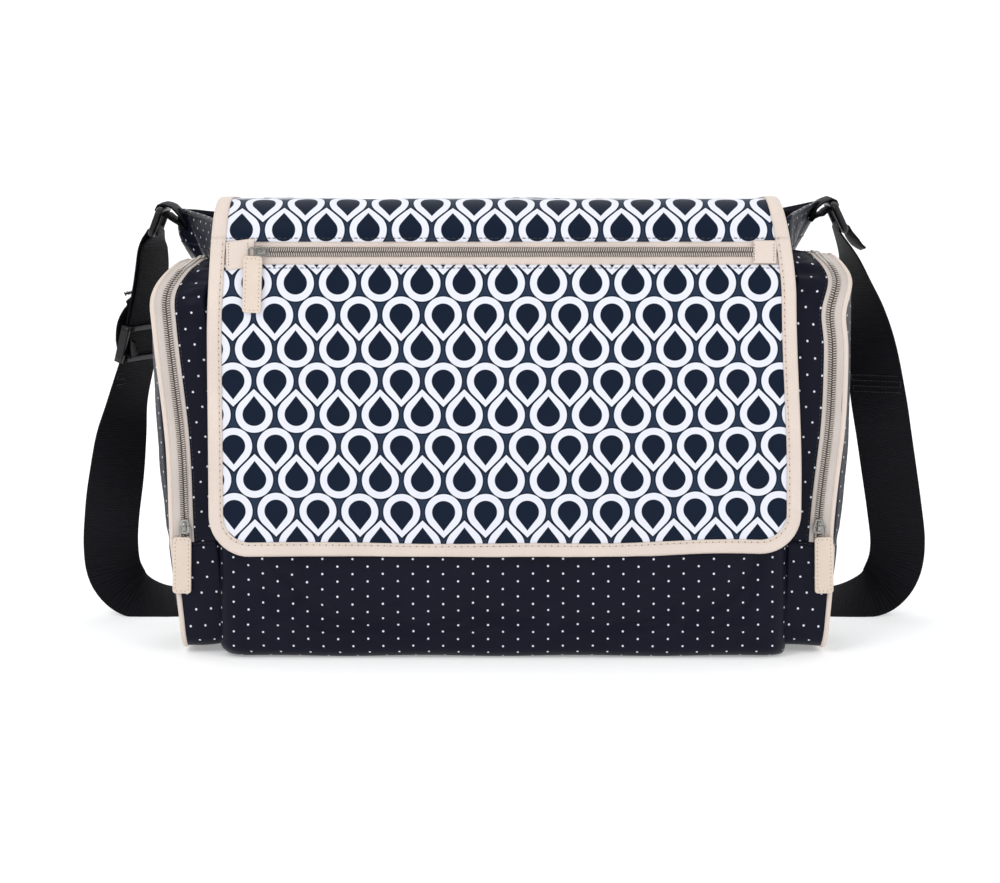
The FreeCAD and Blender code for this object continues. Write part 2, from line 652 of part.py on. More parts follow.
def prism_y(profile, y_low, y_high):
    """Polygon of (x, z) points, extruded along Y."""
    points = [V(x, y_low, z) for x, z in profile]
    return Part.Face(Part.makePolygon(points + points[:1])).extrude(V(0, y_high - y_low, 0))


def wrapped(run):
    """A run of webbing with its end turned round the lower bar of the left ring."""
    _, lower = ring_points()
    inner = RING_WIRE + 0.4
    y_low = STRAP_AXIS_Y - WEBBING_WIDTH / 2
    centre = V(lower[0], y_low, lower[1])
    tube = Part.makeCylinder(inner + WEBBING, WEBBING_WIDTH, centre, V(0, 1, 0))
    return joined([tube, run]).cut(Part.makeCylinder(inner, WEBBING_WIDTH, centre, V(0, 1, 0)))


_, RING_LOW = ring_points()
ADJUSTER_GAP = 3.0
GLIDE_TOP = 3
GLIDE_FOOT = 4

# Stations of the strap's left run, from the ring down to the floor: centre, direction of the width.
# The doubled length is straight and flat between the stations GLIDE_TOP and GLIDE_FOOT.
LEFT_STATIONS = [
    ((RING_LOW[0], STRAP_AXIS_Y, RING_LOW[1] - 6.0), (0.0, 1.0, 0.0)),
    ((-272.0, 54.0, 288.0), (0.10, 0.99, 0.0)),
    ((-274.0, 56.0, 270.0), (0.18, 0.98, 0.0)),
    ((-277.0, 58.0, 252.0), (0.30, 0.95, 0.0)),
    ((-291.0, 66.0, 197.0), (0.30, 0.95, 0.0)),
    ((-300.0, 71.0, 172.0), (0.60, 0.80, 0.0)),
    ((-305.0, 75.0, 148.0), (0.80, 0.60, 0.0)),
    ((-310.0, 80.0, 116.0), (0.95, 0.30, 0.0)),
    ((-315.0, 84.0, 84.0), (1.0, 0.0, 0.0)),
    ((-318.0, 87.0, 56.0), (0.98, 0.05, 0.08)),
    ((-315.0, 87.0, 34.0), (0.88, 0.25, 0.38)),
    ((-303.0, 86.0, 18.0), (0.62, 0.60, 0.50)),
    ((-284.0, 88.0, 10.5), (0.33, 0.84, 0.42)),
    ((-260.0, 92.0, 7.5), (0.12, 0.95, 0.30)),
    ((-235.0, 97.0, 5.0), (0.02, 0.98, 0.20)),
    ((-200.0, 102.0, 2.6), (0.0, 1.0, 0.08)),
]
BACK_STATIONS = [
    ((-150.0, 106.0, WEBBING / 2), (0.0, 1.0, 0.0)),
    ((-60.0, 108.0, WEBBING / 2), (0.0, 1.0, 0.0)),
    ((60.0, 108.0, WEBBING / 2), (0.0, 1.0, 0.0)),
    ((150.0, 106.0, WEBBING / 2), (0.0, 1.0, 0.0)),
]
RIGHT_STATIONS = [
    ((-RING_LOW[0], STRAP_AXIS_Y, RING_LOW[1] - 4.0), (0.0, 1.0, 0.0)),
    ((271.0, 54.0, 292.0), (-0.22, 0.97, 0.0)),
    ((277.0, 56.0, 272.0), (-0.45, 0.89, 0.0)),
    ((284.0, 59.0, 252.0), (-0.62, 0.78, 0.0)),
    ((290.0, 63.0, 228.0), (-0.78, 0.62, 0.0)),
    ((297.0, 69.0, 188.0), (-0.95, 0.30, 0.0)),
    ((303.0, 73.0, 156.0), (-1.0, 0.0, 0.0)),
    ((309.0, 77.0, 122.0), (-1.0, 0.0, 0.0)),
    ((315.0, 82.0, 88.0), (-1.0, 0.0, 0.0)),
    ((319.0, 86.0, 58.0), (-0.98, 0.05, 0.08)),
    ((316.0, 87.0, 36.0), (-0.88, 0.25, 0.38)),
    ((304.0, 86.0, 19.0), (-0.62, 0.60, 0.50)),
    ((284.0, 88.0, 11.0), (-0.33, 0.84, 0.42)),
    ((260.0, 92.0, 7.5), (-0.12, 0.95, 0.30)),
    ((235.0, 97.0, 5.0), (-0.02, 0.98, 0.20)),
    ((200.0, 102.0, 2.6), (0.0, 1.0, 0.08)),
]


def tri_glide():
    """Moulded tri-glide: outer bars on the bag's side of the webbing, the middle bar outside, edge rails."""
    top, foot = V(*LEFT_STATIONS[GLIDE_TOP][0]), V(*LEFT_STATIONS[GLIDE_FOOT][0])
    down = (foot - top).normalize()
    wide = V(*LEFT_STATIONS[GLIDE_TOP][1])
    wide = (wide - down * wide.dot(down)).normalize()
    inward = down.cross(wide)
    thickness = 2.4
    clear = WEBBING / 2 + 0.35
    slot = WEBBING_WIDTH / 2 + 0.6
    edge = slot + 4.0
    half_height = 15.0
    bar = 4.0
    half_middle = 2.5
    inside = (clear, clear + thickness)
    outside = (-clear - thickness, -clear)
    frame = joined([box((-edge, edge), inside, (-half_height, bar - half_height)),
                    box((-edge, edge), inside, (half_height - bar, half_height)),
                    box((-edge, edge), outside, (-half_middle, half_middle)),
                    box((-edge, -slot), (outside[0], inside[1]), (-half_height, half_height)),
                    box((slot, edge), (outside[0], inside[1]), (-half_height, half_height))])
    centre = (top + foot) * 0.5
    frame.Placement = FreeCAD.Placement(FreeCAD.Matrix(wide.x, inward.x, down.x, centre.x,
                                                       wide.y, inward.y, down.y, centre.y,
                                                       wide.z, inward.z, down.z, centre.z, 0, 0, 0, 1))
    return frame


def adjuster_layer():
    """Doubled length of webbing between the ring and the middle bar of the tri-glide."""
    top, foot = V(*LEFT_STATIONS[GLIDE_TOP][0]), V(*LEFT_STATIONS[GLIDE_FOOT][0])
    reach = (foot - top).Length / 2 - 4.0
    end = top + (foot - top).normalize() * reach
    across = LEFT_STATIONS[GLIDE_TOP][1]
    start = ((RING_LOW[0] - 2.6, STRAP_AXIS_Y, RING_LOW[1] - 3.4), LEFT_STATIONS[0][1])
    stations = [start] + LEFT_STATIONS[1:GLIDE_TOP + 1] + [((end.x, end.y, end.z), across)]
    sections = cross_sections(stations, -ADJUSTER_GAP)
    sections[0] = cross_sections(stations)[0]
    return webbing(sections)


def build_strap():
    """Loops, rings, webbing and tri-glide."""
    upper, _ = ring_points()
    left_ring = ring()
    left_ring.rotate(V(0, 0, 0), V(0, 1, 0), RING_TILT)
    left_ring.translate(V(upper[0], STRAP_AXIS_Y, upper[1]))
    export_pair("strap_ring", left_ring)
    export_pair("strap_loop", strap_loop())
    whole = cross_sections(LEFT_STATIONS + BACK_STATIONS + RIGHT_STATIONS[::-1])
    left_end = len(LEFT_STATIONS)
    right_start = left_end + len(BACK_STATIONS)
    export("strap_left_run", webbing(whole[:left_end]))
    export("strap_back_run", webbing(whole[left_end - 1:right_start + 1]))
    export("strap_right_run", mirrored(wrapped(mirrored(webbing(whole[right_start:])))))
    export("strap_adjuster_layer", wrapped(adjuster_layer()))
    export("tri_glide", tri_glide())


os.makedirs("parts", exist_ok=True)
build_body()
build_facings()
build_flap()
build_closure()
build_flap_zip()
build_pockets()
build_strap()
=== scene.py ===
import json
import logging
import math
from dataclasses import dataclass
from enum import Enum
from typing import Callable, Sequence

import bpy
import numpy as np
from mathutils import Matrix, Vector

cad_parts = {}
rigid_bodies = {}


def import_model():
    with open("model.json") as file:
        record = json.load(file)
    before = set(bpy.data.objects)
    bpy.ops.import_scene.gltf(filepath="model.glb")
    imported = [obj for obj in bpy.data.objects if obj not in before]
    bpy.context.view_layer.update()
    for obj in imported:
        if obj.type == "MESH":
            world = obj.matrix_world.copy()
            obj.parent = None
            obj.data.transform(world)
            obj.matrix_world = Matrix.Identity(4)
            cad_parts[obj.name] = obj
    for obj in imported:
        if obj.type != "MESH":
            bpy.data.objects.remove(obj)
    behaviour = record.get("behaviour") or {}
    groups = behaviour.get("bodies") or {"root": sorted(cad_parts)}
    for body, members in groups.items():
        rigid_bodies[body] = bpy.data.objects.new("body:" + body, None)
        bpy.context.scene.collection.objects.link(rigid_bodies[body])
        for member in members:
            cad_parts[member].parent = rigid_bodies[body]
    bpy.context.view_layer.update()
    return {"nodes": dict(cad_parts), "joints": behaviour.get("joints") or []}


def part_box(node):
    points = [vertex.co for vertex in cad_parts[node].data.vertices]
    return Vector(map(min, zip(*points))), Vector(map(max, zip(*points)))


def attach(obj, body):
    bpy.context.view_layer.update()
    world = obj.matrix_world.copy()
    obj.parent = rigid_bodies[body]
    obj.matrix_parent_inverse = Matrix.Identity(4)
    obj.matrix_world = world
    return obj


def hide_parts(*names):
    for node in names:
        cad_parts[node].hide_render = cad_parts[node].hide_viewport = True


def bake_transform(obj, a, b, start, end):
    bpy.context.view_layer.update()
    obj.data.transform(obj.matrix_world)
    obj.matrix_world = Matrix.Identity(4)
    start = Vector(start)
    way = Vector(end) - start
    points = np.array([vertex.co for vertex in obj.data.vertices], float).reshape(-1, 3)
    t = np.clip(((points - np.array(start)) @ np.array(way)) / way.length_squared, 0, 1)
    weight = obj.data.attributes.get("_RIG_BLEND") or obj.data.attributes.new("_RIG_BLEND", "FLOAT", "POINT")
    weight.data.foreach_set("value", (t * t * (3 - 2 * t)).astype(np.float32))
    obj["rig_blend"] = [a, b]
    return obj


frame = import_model()

LOG = logging.getLogger("diaper_bag")
MM = 0.001
CLOTH = "cloth"  # name of the layer with flat cloth coordinates, in metres
WAVE = 0.314  # metres from crest to crest of a wave texture with a scale of 1
Grid = np.ndarray
Piece = bpy.types.Object
Material = bpy.types.Material
Tree = bpy.types.NodeTree
Node = bpy.types.Node
Socket = bpy.types.NodeSocket
Pair = tuple[float, float]


# ---- small tools

def srgb(code: str) -> tuple[float, float, float, float]:
    """Turns an sRGB hex colour into the linear values that the shader takes.

    Args:
        code: Colour as "#RRGGBB".

    Returns:
        Linear red, green, blue and an alpha of 1.
    """
    channels = [int(code[i:i + 2], 16) / 255 for i in (1, 3, 5)]
    linear = [c / 12.92 if c <= 0.04045 else ((c + 0.055) / 1.055) ** 2.4 for c in channels]
    return (linear[0], linear[1], linear[2], 1.0)


def joint(name: str) -> dict:
    """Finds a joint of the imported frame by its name."""
    return next(j for j in frame["joints"] if j["name"] == name)


def smooth(value: Grid | float, low: float, high: float) -> Grid | float:
    """Rises smoothly from 0 at low to 1 at high."""
    t = np.clip((value - low) / (high - low), 0.0, 1.0)
    return t * t * (3 - 2 * t)


def ripple(a: Grid, b: Grid, wave: float, seed: float) -> Grid:
    """Soft unevenness of sewn cloth, between about -1 and 1.

    Args:
        a: First cloth coordinate, in metres.
        b: Second cloth coordinate, in metres.
        wave: Typical distance between crests, in metres.
        seed: Offset that makes each cloth its own.

    Returns:
        The height at each place, of the shape of a and b together.
    """
    k = 2 * math.pi / wave
    total = np.sin(k * (a + 0.31 * b) + seed) * np.cos(k * 0.63 * (b - 0.2 * a) + 2.1 * seed)
    total = total + 0.6 * np.sin(k * 1.71 * (0.4 * a - b) + 1.3 * seed + 1.0)
    total = total + 0.4 * np.cos(k * 2.63 * (a - 0.7 * b) + 0.7 * seed)
    return total / 2.0


def route(points: Sequence[Sequence[float]], step: float) -> tuple[Grid, Grid]:
    """Smooth curve through given points.

    Args:
        points: Rows of numbers; the first three are the place and the rest ride along with it.
        step: Distance between samples, in metres.

    Returns:
        The samples, one row each, and the distance of each along the curve.
    """
    rows = np.array(points, float)
    rows = np.vstack([2 * rows[0] - rows[1], rows, 2 * rows[-1] - rows[-2]])
    samples = []
    for i in range(1, len(rows) - 2):
        p0, p1, p2, p3 = rows[i - 1:i + 3]
        span = np.linalg.norm((p2 - p1)[:3])
        for t in np.linspace(0, 1, max(2, int(math.ceil(span / step)) + 1))[:-1]:
            samples.append(0.5 * (2 * p1 + (p2 - p0) * t + (2 * p0 - 5 * p1 + 4 * p2 - p3) * t ** 2
                                  + (3 * p1 - p0 - 3 * p2 + p3) * t ** 3))
    samples.append(rows[-2])
    line = np.array(samples)
    return line, travelled(line[:, :3])


def resample(line: Grid, reach: Grid, places: Grid) -> Grid:
    """Rows of a route at given distances along it."""
    return np.stack([np.interp(places, reach, line[:, i]) for i in range(line.shape[1])], axis=1)


def travelled(rows: Grid) -> Grid:
    """Distance along a row of points, from 0 at the first."""
    return np.concatenate([[0.0], np.cumsum(np.linalg.norm(np.diff(rows, axis=0), axis=1))])


def unit(rows: Grid) -> Grid:
    """Rows scaled to length 1."""
    return rows / np.maximum(np.linalg.norm(rows, axis=-1, keepdims=True), 1e-12)


def make_mesh(name: str, points: Grid, faces: list, cloth: Grid | None = None,
              material: Material | None = None) -> Piece:
    """New smooth-shaded mesh object in the frame.

    Args:
        name: Name of the piece.
        points: Vertices, in metres.
        faces: Vertex numbers of each face.
        cloth: Flat cloth coordinate of each face corner, in metres, in the order of faces.
        material: Material of the first slot.

    Returns:
        The new object.
    """
    mesh = bpy.data.meshes.new(name)
    mesh.from_pydata([tuple(p) for p in np.asarray(points, float)], [], [tuple(f) for f in faces])
    if cloth is not None:
        layer = mesh.uv_layers.new(name=CLOTH)
        layer.data.foreach_set("uv", np.asarray(cloth, np.float32).ravel())
    mesh.polygons.foreach_set("use_smooth", [True] * len(mesh.polygons))
    mesh.update()
    obj = bpy.data.objects.new(name, mesh)
    bpy.context.scene.collection.objects.link(obj)
    if material is not None:
        mesh.materials.append(material)
    return obj


def grid_mesh(name: str, points: Grid, cloth: Grid, material: Material,
              wrap: bool = False, flip: bool = False) -> Piece:
    """Mesh over a grid of points.

    Args:
        name: Name of the piece.
        points: Places, shaped (rows, columns, 3).
        cloth: Flat cloth coordinates, shaped (rows, columns, 2), with one more column where it wraps.
        material: Material of the cloth.
        wrap: Whether the last column joins the first.
        flip: Whether the faces look the other way.

    Returns:
        The new object.
    """
    rows, columns = points.shape[:2]
    across = columns if wrap else columns - 1
    faces, corners = [], []
    for r in range(rows - 1):
        for c in range(across):
            ring = [(r, c), (r, c + 1), (r + 1, c + 1), (r + 1, c)]
            ring = ring[::-1] if flip else ring
            faces.append([i * columns + j % columns for i, j in ring])
            corners.extend(cloth[i, j] for i, j in ring)
    return make_mesh(name, points.reshape(-1, 3), faces, np.array(corners), material)


def copies(name: str, template: tuple[Grid, list], places: Grid, axes: Grid, material: Material) -> Piece:
    """Many copies of one small shape in one mesh.

    Args:
        name: Name of the piece.
        template: Vertices and faces of the shape.
        places: Where each copy goes, one row each.
        axes: For each copy the three directions that its x, y and z turn to, scaled to its size.
        material: Material of the copies.

    Returns:
        The new object.
    """
    shape, faces = template
    points = np.einsum("vi,nij->nvj", shape, axes) + places[:, None, :]
    count = len(shape)
    every = [[i * count + v for v in f] for i in range(len(places)) for f in faces]
    return make_mesh(name, points.reshape(-1, 3), every, None, material)


def capsule(rings: int = 4, sides: int = 6) -> tuple[Grid, list]:
    """Small rounded pin of length 2 and radius 1 along x, for stitches and zip teeth."""
    points = []
    for i in range(rings):
        angle = math.pi * (0.14 + 0.72 * i / (rings - 1))
        for j in range(sides):
            turn = 2 * math.pi * j / sides
            points.append((-math.cos(angle), math.sin(angle) ** 0.6 * math.cos(turn),
                           math.sin(angle) ** 0.6 * math.sin(turn)))
    faces = [[i * sides + j, i * sides + (j + 1) % sides, (i + 1) * sides + (j + 1) % sides,
              (i + 1) * sides + j] for i in range(rings - 1) for j in range(sides)]
    faces.append(list(range(sides))[::-1])
    faces.append([(rings - 1) * sides + j for j in range(sides)])
    return np.array(points), [f[::-1] for f in faces]


def pins_along(name: str, path: Grid, out: Grid, pitch: float, length: float, radius: float,
               material: Material, phase: float = 0.5) -> Piece:
    """Row of stitches, or of the holes between them, along a path.

    Args:
        name: Name of the piece.
        path: Points of the seam.
        out: Direction out of the cloth at each point.
        pitch: Distance between stitches.
        length: Length of one stitch.
        radius: Half of its thickness.
        material: Thread, or the painted shade of a needle hole.
        phase: Where the first stitch lies, in pitches.

    Returns:
        The new object.
    """
    reach = travelled(path)
    places = np.arange(phase * pitch, reach[-1], pitch)
    both = np.hstack([path, out])
    centre = resample(both, reach, places)
    ahead = resample(both, reach, np.minimum(places + pitch / 4, reach[-1]))
    behind = resample(both, reach, np.maximum(places - pitch / 4, 0))
    along = unit(ahead[:, :3] - behind[:, :3])
    lift = unit(centre[:, 3:] - along * np.sum(centre[:, 3:] * along, axis=1, keepdims=True))
    side = np.cross(lift, along)
    axes = np.stack([along * length / 2, side * radius, lift * radius], axis=1)
    return copies(name, capsule(), centre[:, :3], axes, material)


def sweep(name: str, path: Grid, wide: Grid, high: Grid, profile: Sequence[Pair],
          material: Material, loop: bool = False) -> Piece:
    """Closed profile carried along a path, with its ends closed unless the path is a loop.

    Args:
        name: Name of the piece.
        path: Centres of the profile.
        wide: Direction of the profile's first number at each centre.
        high: Direction of its second number at each centre.
        profile: Corners of the profile, in metres.
        material: Material of the piece.
        loop: Whether the path closes on itself.

    Returns:
        The new object.
    """
    shape = np.array(profile)
    points = path[:, None, :] + shape[None, :, :1] * wide[:, None, :] + shape[None, :, 1:] * high[:, None, :]
    count, sides = points.shape[:2]
    reach = travelled(path)
    round_it = travelled(np.vstack([shape, shape[:1]]))
    faces, corners = [], []
    spans = count if loop else count - 1
    closing = reach[-1] + np.linalg.norm(path[0] - path[-1])
    for r in range(spans):
        nxt = (r + 1) % count
        far = reach[r + 1] if r + 1 < count else closing
        for c in range(sides):
            d = (c + 1) % sides
            faces.append([r * sides + c, r * sides + d, nxt * sides + d, nxt * sides + c])
            corners += [(round_it[c], reach[r]), (round_it[c + 1], reach[r]),
                        (round_it[c + 1], far), (round_it[c], far)]
    if not loop:
        faces.append(list(range(sides))[::-1])
        corners += [tuple(shape[c]) for c in range(sides)][::-1]
        faces.append([(count - 1) * sides + c for c in range(sides)])
        corners += [tuple(shape[c]) for c in range(sides)]
    obj = make_mesh(name, points.reshape(-1, 3), faces, np.array(corners), material)
    outward(obj)
    return obj


def outward(obj: Piece) -> Piece:
    """Makes the faces of a closed mesh look outwards."""
    mesh = obj.data
    volume = 0.0
    for face in mesh.polygons:
        centre = face.center
        volume += centre.dot(face.normal) * face.area
    if volume < 0:
        mesh.flip_normals()
    return obj


def round_profile(radius: float, sides: int = 12, flat: float = 1.0) -> list[Pair]:
    """Corners of a circle, or of an oval that is flat times as high as it is wide."""
    turns = [2 * math.pi * i / sides for i in range(sides)]
    return [(radius * math.cos(t), radius * flat * math.sin(t)) for t in turns]


def soft_bar(width: float, height: float, corner: float, steps: int = 3) -> list[Pair]:
    """Corners of a rectangle with rounded corners, anticlockwise."""
    points = []
    for quarter, (sx, sy) in enumerate(((1, 1), (-1, 1), (-1, -1), (1, -1))):
        for i in range(steps + 1):
            angle = math.pi / 2 * (quarter + i / steps)
            points.append((sx * (width / 2 - corner) + corner * math.cos(angle),
                           sy * (height / 2 - corner) + corner * math.sin(angle)))
    return points


def thicken(obj: Piece, thickness: float, offset: float = -1.0, inside: int = 0) -> Piece:
    """Gives a sheet its real thickness.

    Args:
        obj: The sheet.
        thickness: Its thickness.
        offset: -1 to grow behind its faces, 1 in front of them, 0 on both sides.
        inside: How many material slots on the inner face's material is.

    Returns:
        The same object.
    """
    shell = obj.modifiers.new("thickness", "SOLIDIFY")
    shell.thickness = thickness
    shell.offset = offset
    shell.material_offset = inside
    shell.material_offset_rim = 0
    return obj


def refine(obj: Piece, levels: int = 1) -> Piece:
    """Rounds a mesh by subdivision."""
    step = obj.modifiers.new("rounding", "SUBSURF")
    step.levels = levels
    step.render_levels = levels
    return obj


def joined(name: str, parts: Sequence[Piece]) -> Piece:
    """One object from several, keeping each one's material."""
    for obj in bpy.context.scene.objects:
        obj.select_set(False)
    for obj in parts:
        obj.select_set(True)
    bpy.context.view_layer.objects.active = parts[0]
    if len(parts) > 1:
        bpy.ops.object.join()
    parts[0].name = name
    parts[0].data.name = name
    return parts[0]


def face_along(obj: Piece, towards: Grid) -> Piece:
    """Turns a sheet's faces over if they look away from a direction given for each vertex, or for all."""
    normals = np.empty(len(obj.data.vertices) * 3, np.float32)
    obj.data.vertices.foreach_get("normal", normals)
    if float(np.sum(normals.reshape(-1, 3) * np.asarray(towards).reshape(-1, 3))) < 0:
        obj.data.flip_normals()
    return obj


def plate(name: str, outline: Sequence[Pair], thickness: float, bevel: float,
          origin: Grid, wide: Grid, tall: Grid, material: Material) -> Piece:
    """Flat plate of any outline with bevelled edges.

    Args:
        name: Name of the piece.
        outline: Corners of the plate, in metres.
        thickness: Its thickness, which grows to both sides of its middle plane.
        bevel: Width of the bevel.
        origin: Where the outline's origin goes.
        wide: Direction of the outline's first number.
        tall: Direction of its second number.
        material: Material of the plate.

    Returns:
        The new object.
    """
    shape = np.array(outline)
    normal = np.cross(wide, tall)
    flat = origin + shape[:, :1] * wide + shape[:, 1:] * tall
    points = np.vstack([flat - normal * thickness / 2, flat + normal * thickness / 2])
    n = len(shape)
    faces = [list(range(n))[::-1], [n + i for i in range(n)]]
    faces += [[i, (i + 1) % n, n + (i + 1) % n, n + i] for i in range(n)]
    corners = [tuple(shape[i % n]) for f in faces for i in f]
    obj = outward(make_mesh(name, points, faces, np.array(corners), material))
    edge = obj.modifiers.new("edges", "BEVEL")
    edge.width = bevel
    edge.segments = 3
    edge.limit_method = "ANGLE"
    edge.angle_limit = math.radians(40)
    edge.harden_normals = True
    return obj


def rounded_outline(width: float, height: float, corner: float, steps: int = 5,
                    top: float = 0.0) -> list[Pair]:
    """Rounded rectangle whose middle lies below the origin so that its upper edge is at top."""
    return [(x, y + top - height / 2) for x, y in soft_bar(width, height, corner, steps)]


# ---- finishes

def add(tree: Tree, kind: str, settings: dict | None = None, links: dict | None = None) -> Node:
    """Adds a node with its settings and links.

    Args:
        tree: The material's node tree.
        kind: Node type, without the "ShaderNode" that all of them begin with.
        settings: Properties by name, or input values by "in:" and the socket's name or number.
        links: Source socket, or node for its first socket, by the input's name or number.

    Returns:
        The new node.
    """
    node = tree.nodes.new("ShaderNode" + kind)
    for key, value in (settings or {}).items():
        if key.startswith("in:"):
            where = key[3:]
            node.inputs[int(where) if where.isdigit() else where].default_value = value
        else:
            setattr(node, key, value)
    for key, source in (links or {}).items():
        socket = source.outputs[0] if isinstance(source, Node) else source
        tree.links.new(socket, node.inputs[key])
    return node


def cloth_place(tree: Tree) -> Node:
    """Cloth coordinates of a mesh, taken apart."""
    return add(tree, "SeparateXYZ", {}, {0: add(tree, "UVMap", {"uv_map": CLOTH})})


def repeat(tree: Tree, source: Socket, pitch: float, start: float) -> Node:
    """Place within a printed repeat, from 0 to 1, with the start at its middle."""
    cell = add(tree, "Math", {"operation": "MULTIPLY_ADD", "in:1": 1 / pitch, "in:2": 0.5 - start / pitch},
               {0: source})
    return add(tree, "Math", {"operation": "FRACT"}, {0: cell})


class Surface(Enum):
    """How a finish's fine relief runs."""
    PLAIN_WEAVE = "plain weave"
    RIBBED = "ribbed"
    GRAIN = "grain"
    CAST = "cast"


@dataclass(frozen=True)
class Finish:
    """Base of every finish: a real material, how its surface was made, and what that gives the eye."""
    name: str
    colour: str
    roughness: float
    surface: Surface
    pitch: float = 0.6 * MM
    relief: float = 0.15 * MM
    # Share by which the hollows of the relief are darkened, a painted shade; half of it also sets the range of the
    # random mottle of tone.
    shade: float = 0.12
    metallic: float = 0.0
    sheen: float = 0.0
    specular: float = 0.5
    ior: float = 1.5
    # Colour of the relief's crests where set, lighter than the base colour: a painted highlight.
    second: str | None = None

    def tree(self) -> tuple[Material, Tree, Node]:
        """New material with its shader, ready to be linked."""
        material = bpy.data.materials.new(self.name)
        material.use_nodes = True
        tree = material.node_tree
        shader = tree.nodes["Principled BSDF"]
        settings = {"Base Color": srgb(self.colour), "Roughness": self.roughness, "Metallic": self.metallic,
                    "Specular IOR Level": self.specular, "Sheen Weight": self.sheen}
        if not self.metallic:
            settings["IOR"] = self.ior
        for socket, value in settings.items():
            shader.inputs[socket].default_value = value
        material.diffuse_color = srgb(self.colour)
        return material, tree, shader

    def height(self, tree: Tree) -> Socket:
        """Fine relief of the surface, from 0 to 1."""
        if self.surface is Surface.RIBBED:
            place = add(tree, "UVMap", {"uv_map": CLOTH})
            wave = add(tree, "TexWave", {"in:Scale": WAVE / self.pitch, "bands_direction": "Y",
                                         "in:Distortion": 0.4, "in:Detail": 1.0}, {"Vector": place})
            return wave.outputs["Fac"]
        place = add(tree, "TexCoord").outputs["Object"]
        if self.surface is Surface.PLAIN_WEAVE:
            threads = [add(tree, "TexWave", {"in:Scale": WAVE / self.pitch, "bands_direction": way,
                                             "in:Distortion": 1.2, "in:Detail": 1.0}, {"Vector": place})
                       for way in ("X", "Z")]
            both = add(tree, "Math", {"operation": "MULTIPLY"},
                       {i: thread.outputs["Fac"] for i, thread in enumerate(threads)})
            return both.outputs[0]
        if self.surface is Surface.GRAIN:
            cells = add(tree, "TexVoronoi", {"in:Scale": 1 / self.pitch, "feature": "SMOOTH_F1"},
                        {"Vector": place})
            return cells.outputs["Distance"]
        speck = add(tree, "TexNoise", {"in:Scale": 0.5 / self.pitch, "in:Detail": 2.0}, {"Vector": place})
        return speck.outputs["Fac"]

    def colours(self, tree: Tree, height: Socket) -> Socket:
        """Colour of the cloth or part before wear: painted shade in the hollows of its relief, the painted highlight
        colour on its crests, and a random mottle of tone.
        """
        place = add(tree, "TexCoord").outputs["Object"]
        cloud = add(tree, "TexNoise", {"in:Scale": 24.0, "in:Detail": 3.0}, {"Vector": place})
        # deep is the painted shade of the relief's hollows, high the painted highlight of its crests.
        deep = tuple(c * (1 - self.shade) for c in srgb(self.colour)[:3]) + (1.0,)
        high = srgb(self.second or self.colour)
        mix = add(tree, "Mix", {"data_type": "RGBA", "in:6": deep, "in:7": high}, {0: height})
        pale = add(tree, "MapRange", {"in:1": 0.3, "in:2": 0.7, "in:3": 1 - self.shade / 2,
                                      "in:4": 1 + self.shade / 4}, {0: cloud.outputs["Fac"]})
        tone = add(tree, "HueSaturation", {}, {"Color": mix.outputs[2], "Value": pale})
        return tone.outputs[0]

    def finish(self) -> Material:
        """Makes the material."""
        material, tree, shader = self.tree()
        height = self.height(tree)
        tree.links.new(self.colours(tree, height), shader.inputs["Base Color"])
        bump = add(tree, "Bump", {"in:Strength": 0.6, "in:Distance": self.relief}, {"Height": height})
        tree.links.new(bump.outputs[0], shader.inputs["Normal"])
        return material


@dataclass(frozen=True)
class PinDotSatin(Finish):
    """Navy polyester satin printed with small white pin dots in a staggered lattice."""
    column: float = 11.3 * MM
    row: float = 11.15 * MM
    dot: float = 0.78 * MM
    dot_colour: str = "#E9EBF5"

    def colours(self, tree: Tree, height: Socket) -> Socket:
        """Navy ground with the dots laid on by cloth coordinate."""
        ground = super().colours(tree, height)
        place = cloth_place(tree)
        lattices = []
        for shift in (0.0, 0.5):
            total = None
            for axis, pitch in ((0, 2 * self.column), (1, self.row)):
                part = repeat(tree, place.outputs[axis], pitch, -shift * pitch)
                away = add(tree, "Math", {"operation": "MULTIPLY_ADD", "in:1": pitch, "in:2": -0.5 * pitch},
                           {0: part})
                square = add(tree, "Math", {"operation": "MULTIPLY"}, {0: away, 1: away})
                total = square if total is None else add(tree, "Math", {"operation": "ADD"},
                                                         {0: square, 1: total})
            lattices.append(total)
        nearest = add(tree, "Math", {"operation": "MINIMUM"}, dict(enumerate(lattices)))
        inside = add(tree, "MapRange", {"in:1": (0.85 * self.dot) ** 2, "in:2": (1.15 * self.dot) ** 2,
                                        "in:3": 1.0, "in:4": 0.0}, {0: nearest})
        mix = add(tree, "Mix", {"data_type": "RGBA", "in:7": srgb(self.dot_colour)}, {0: inside, 6: ground})
        return mix.outputs[2]


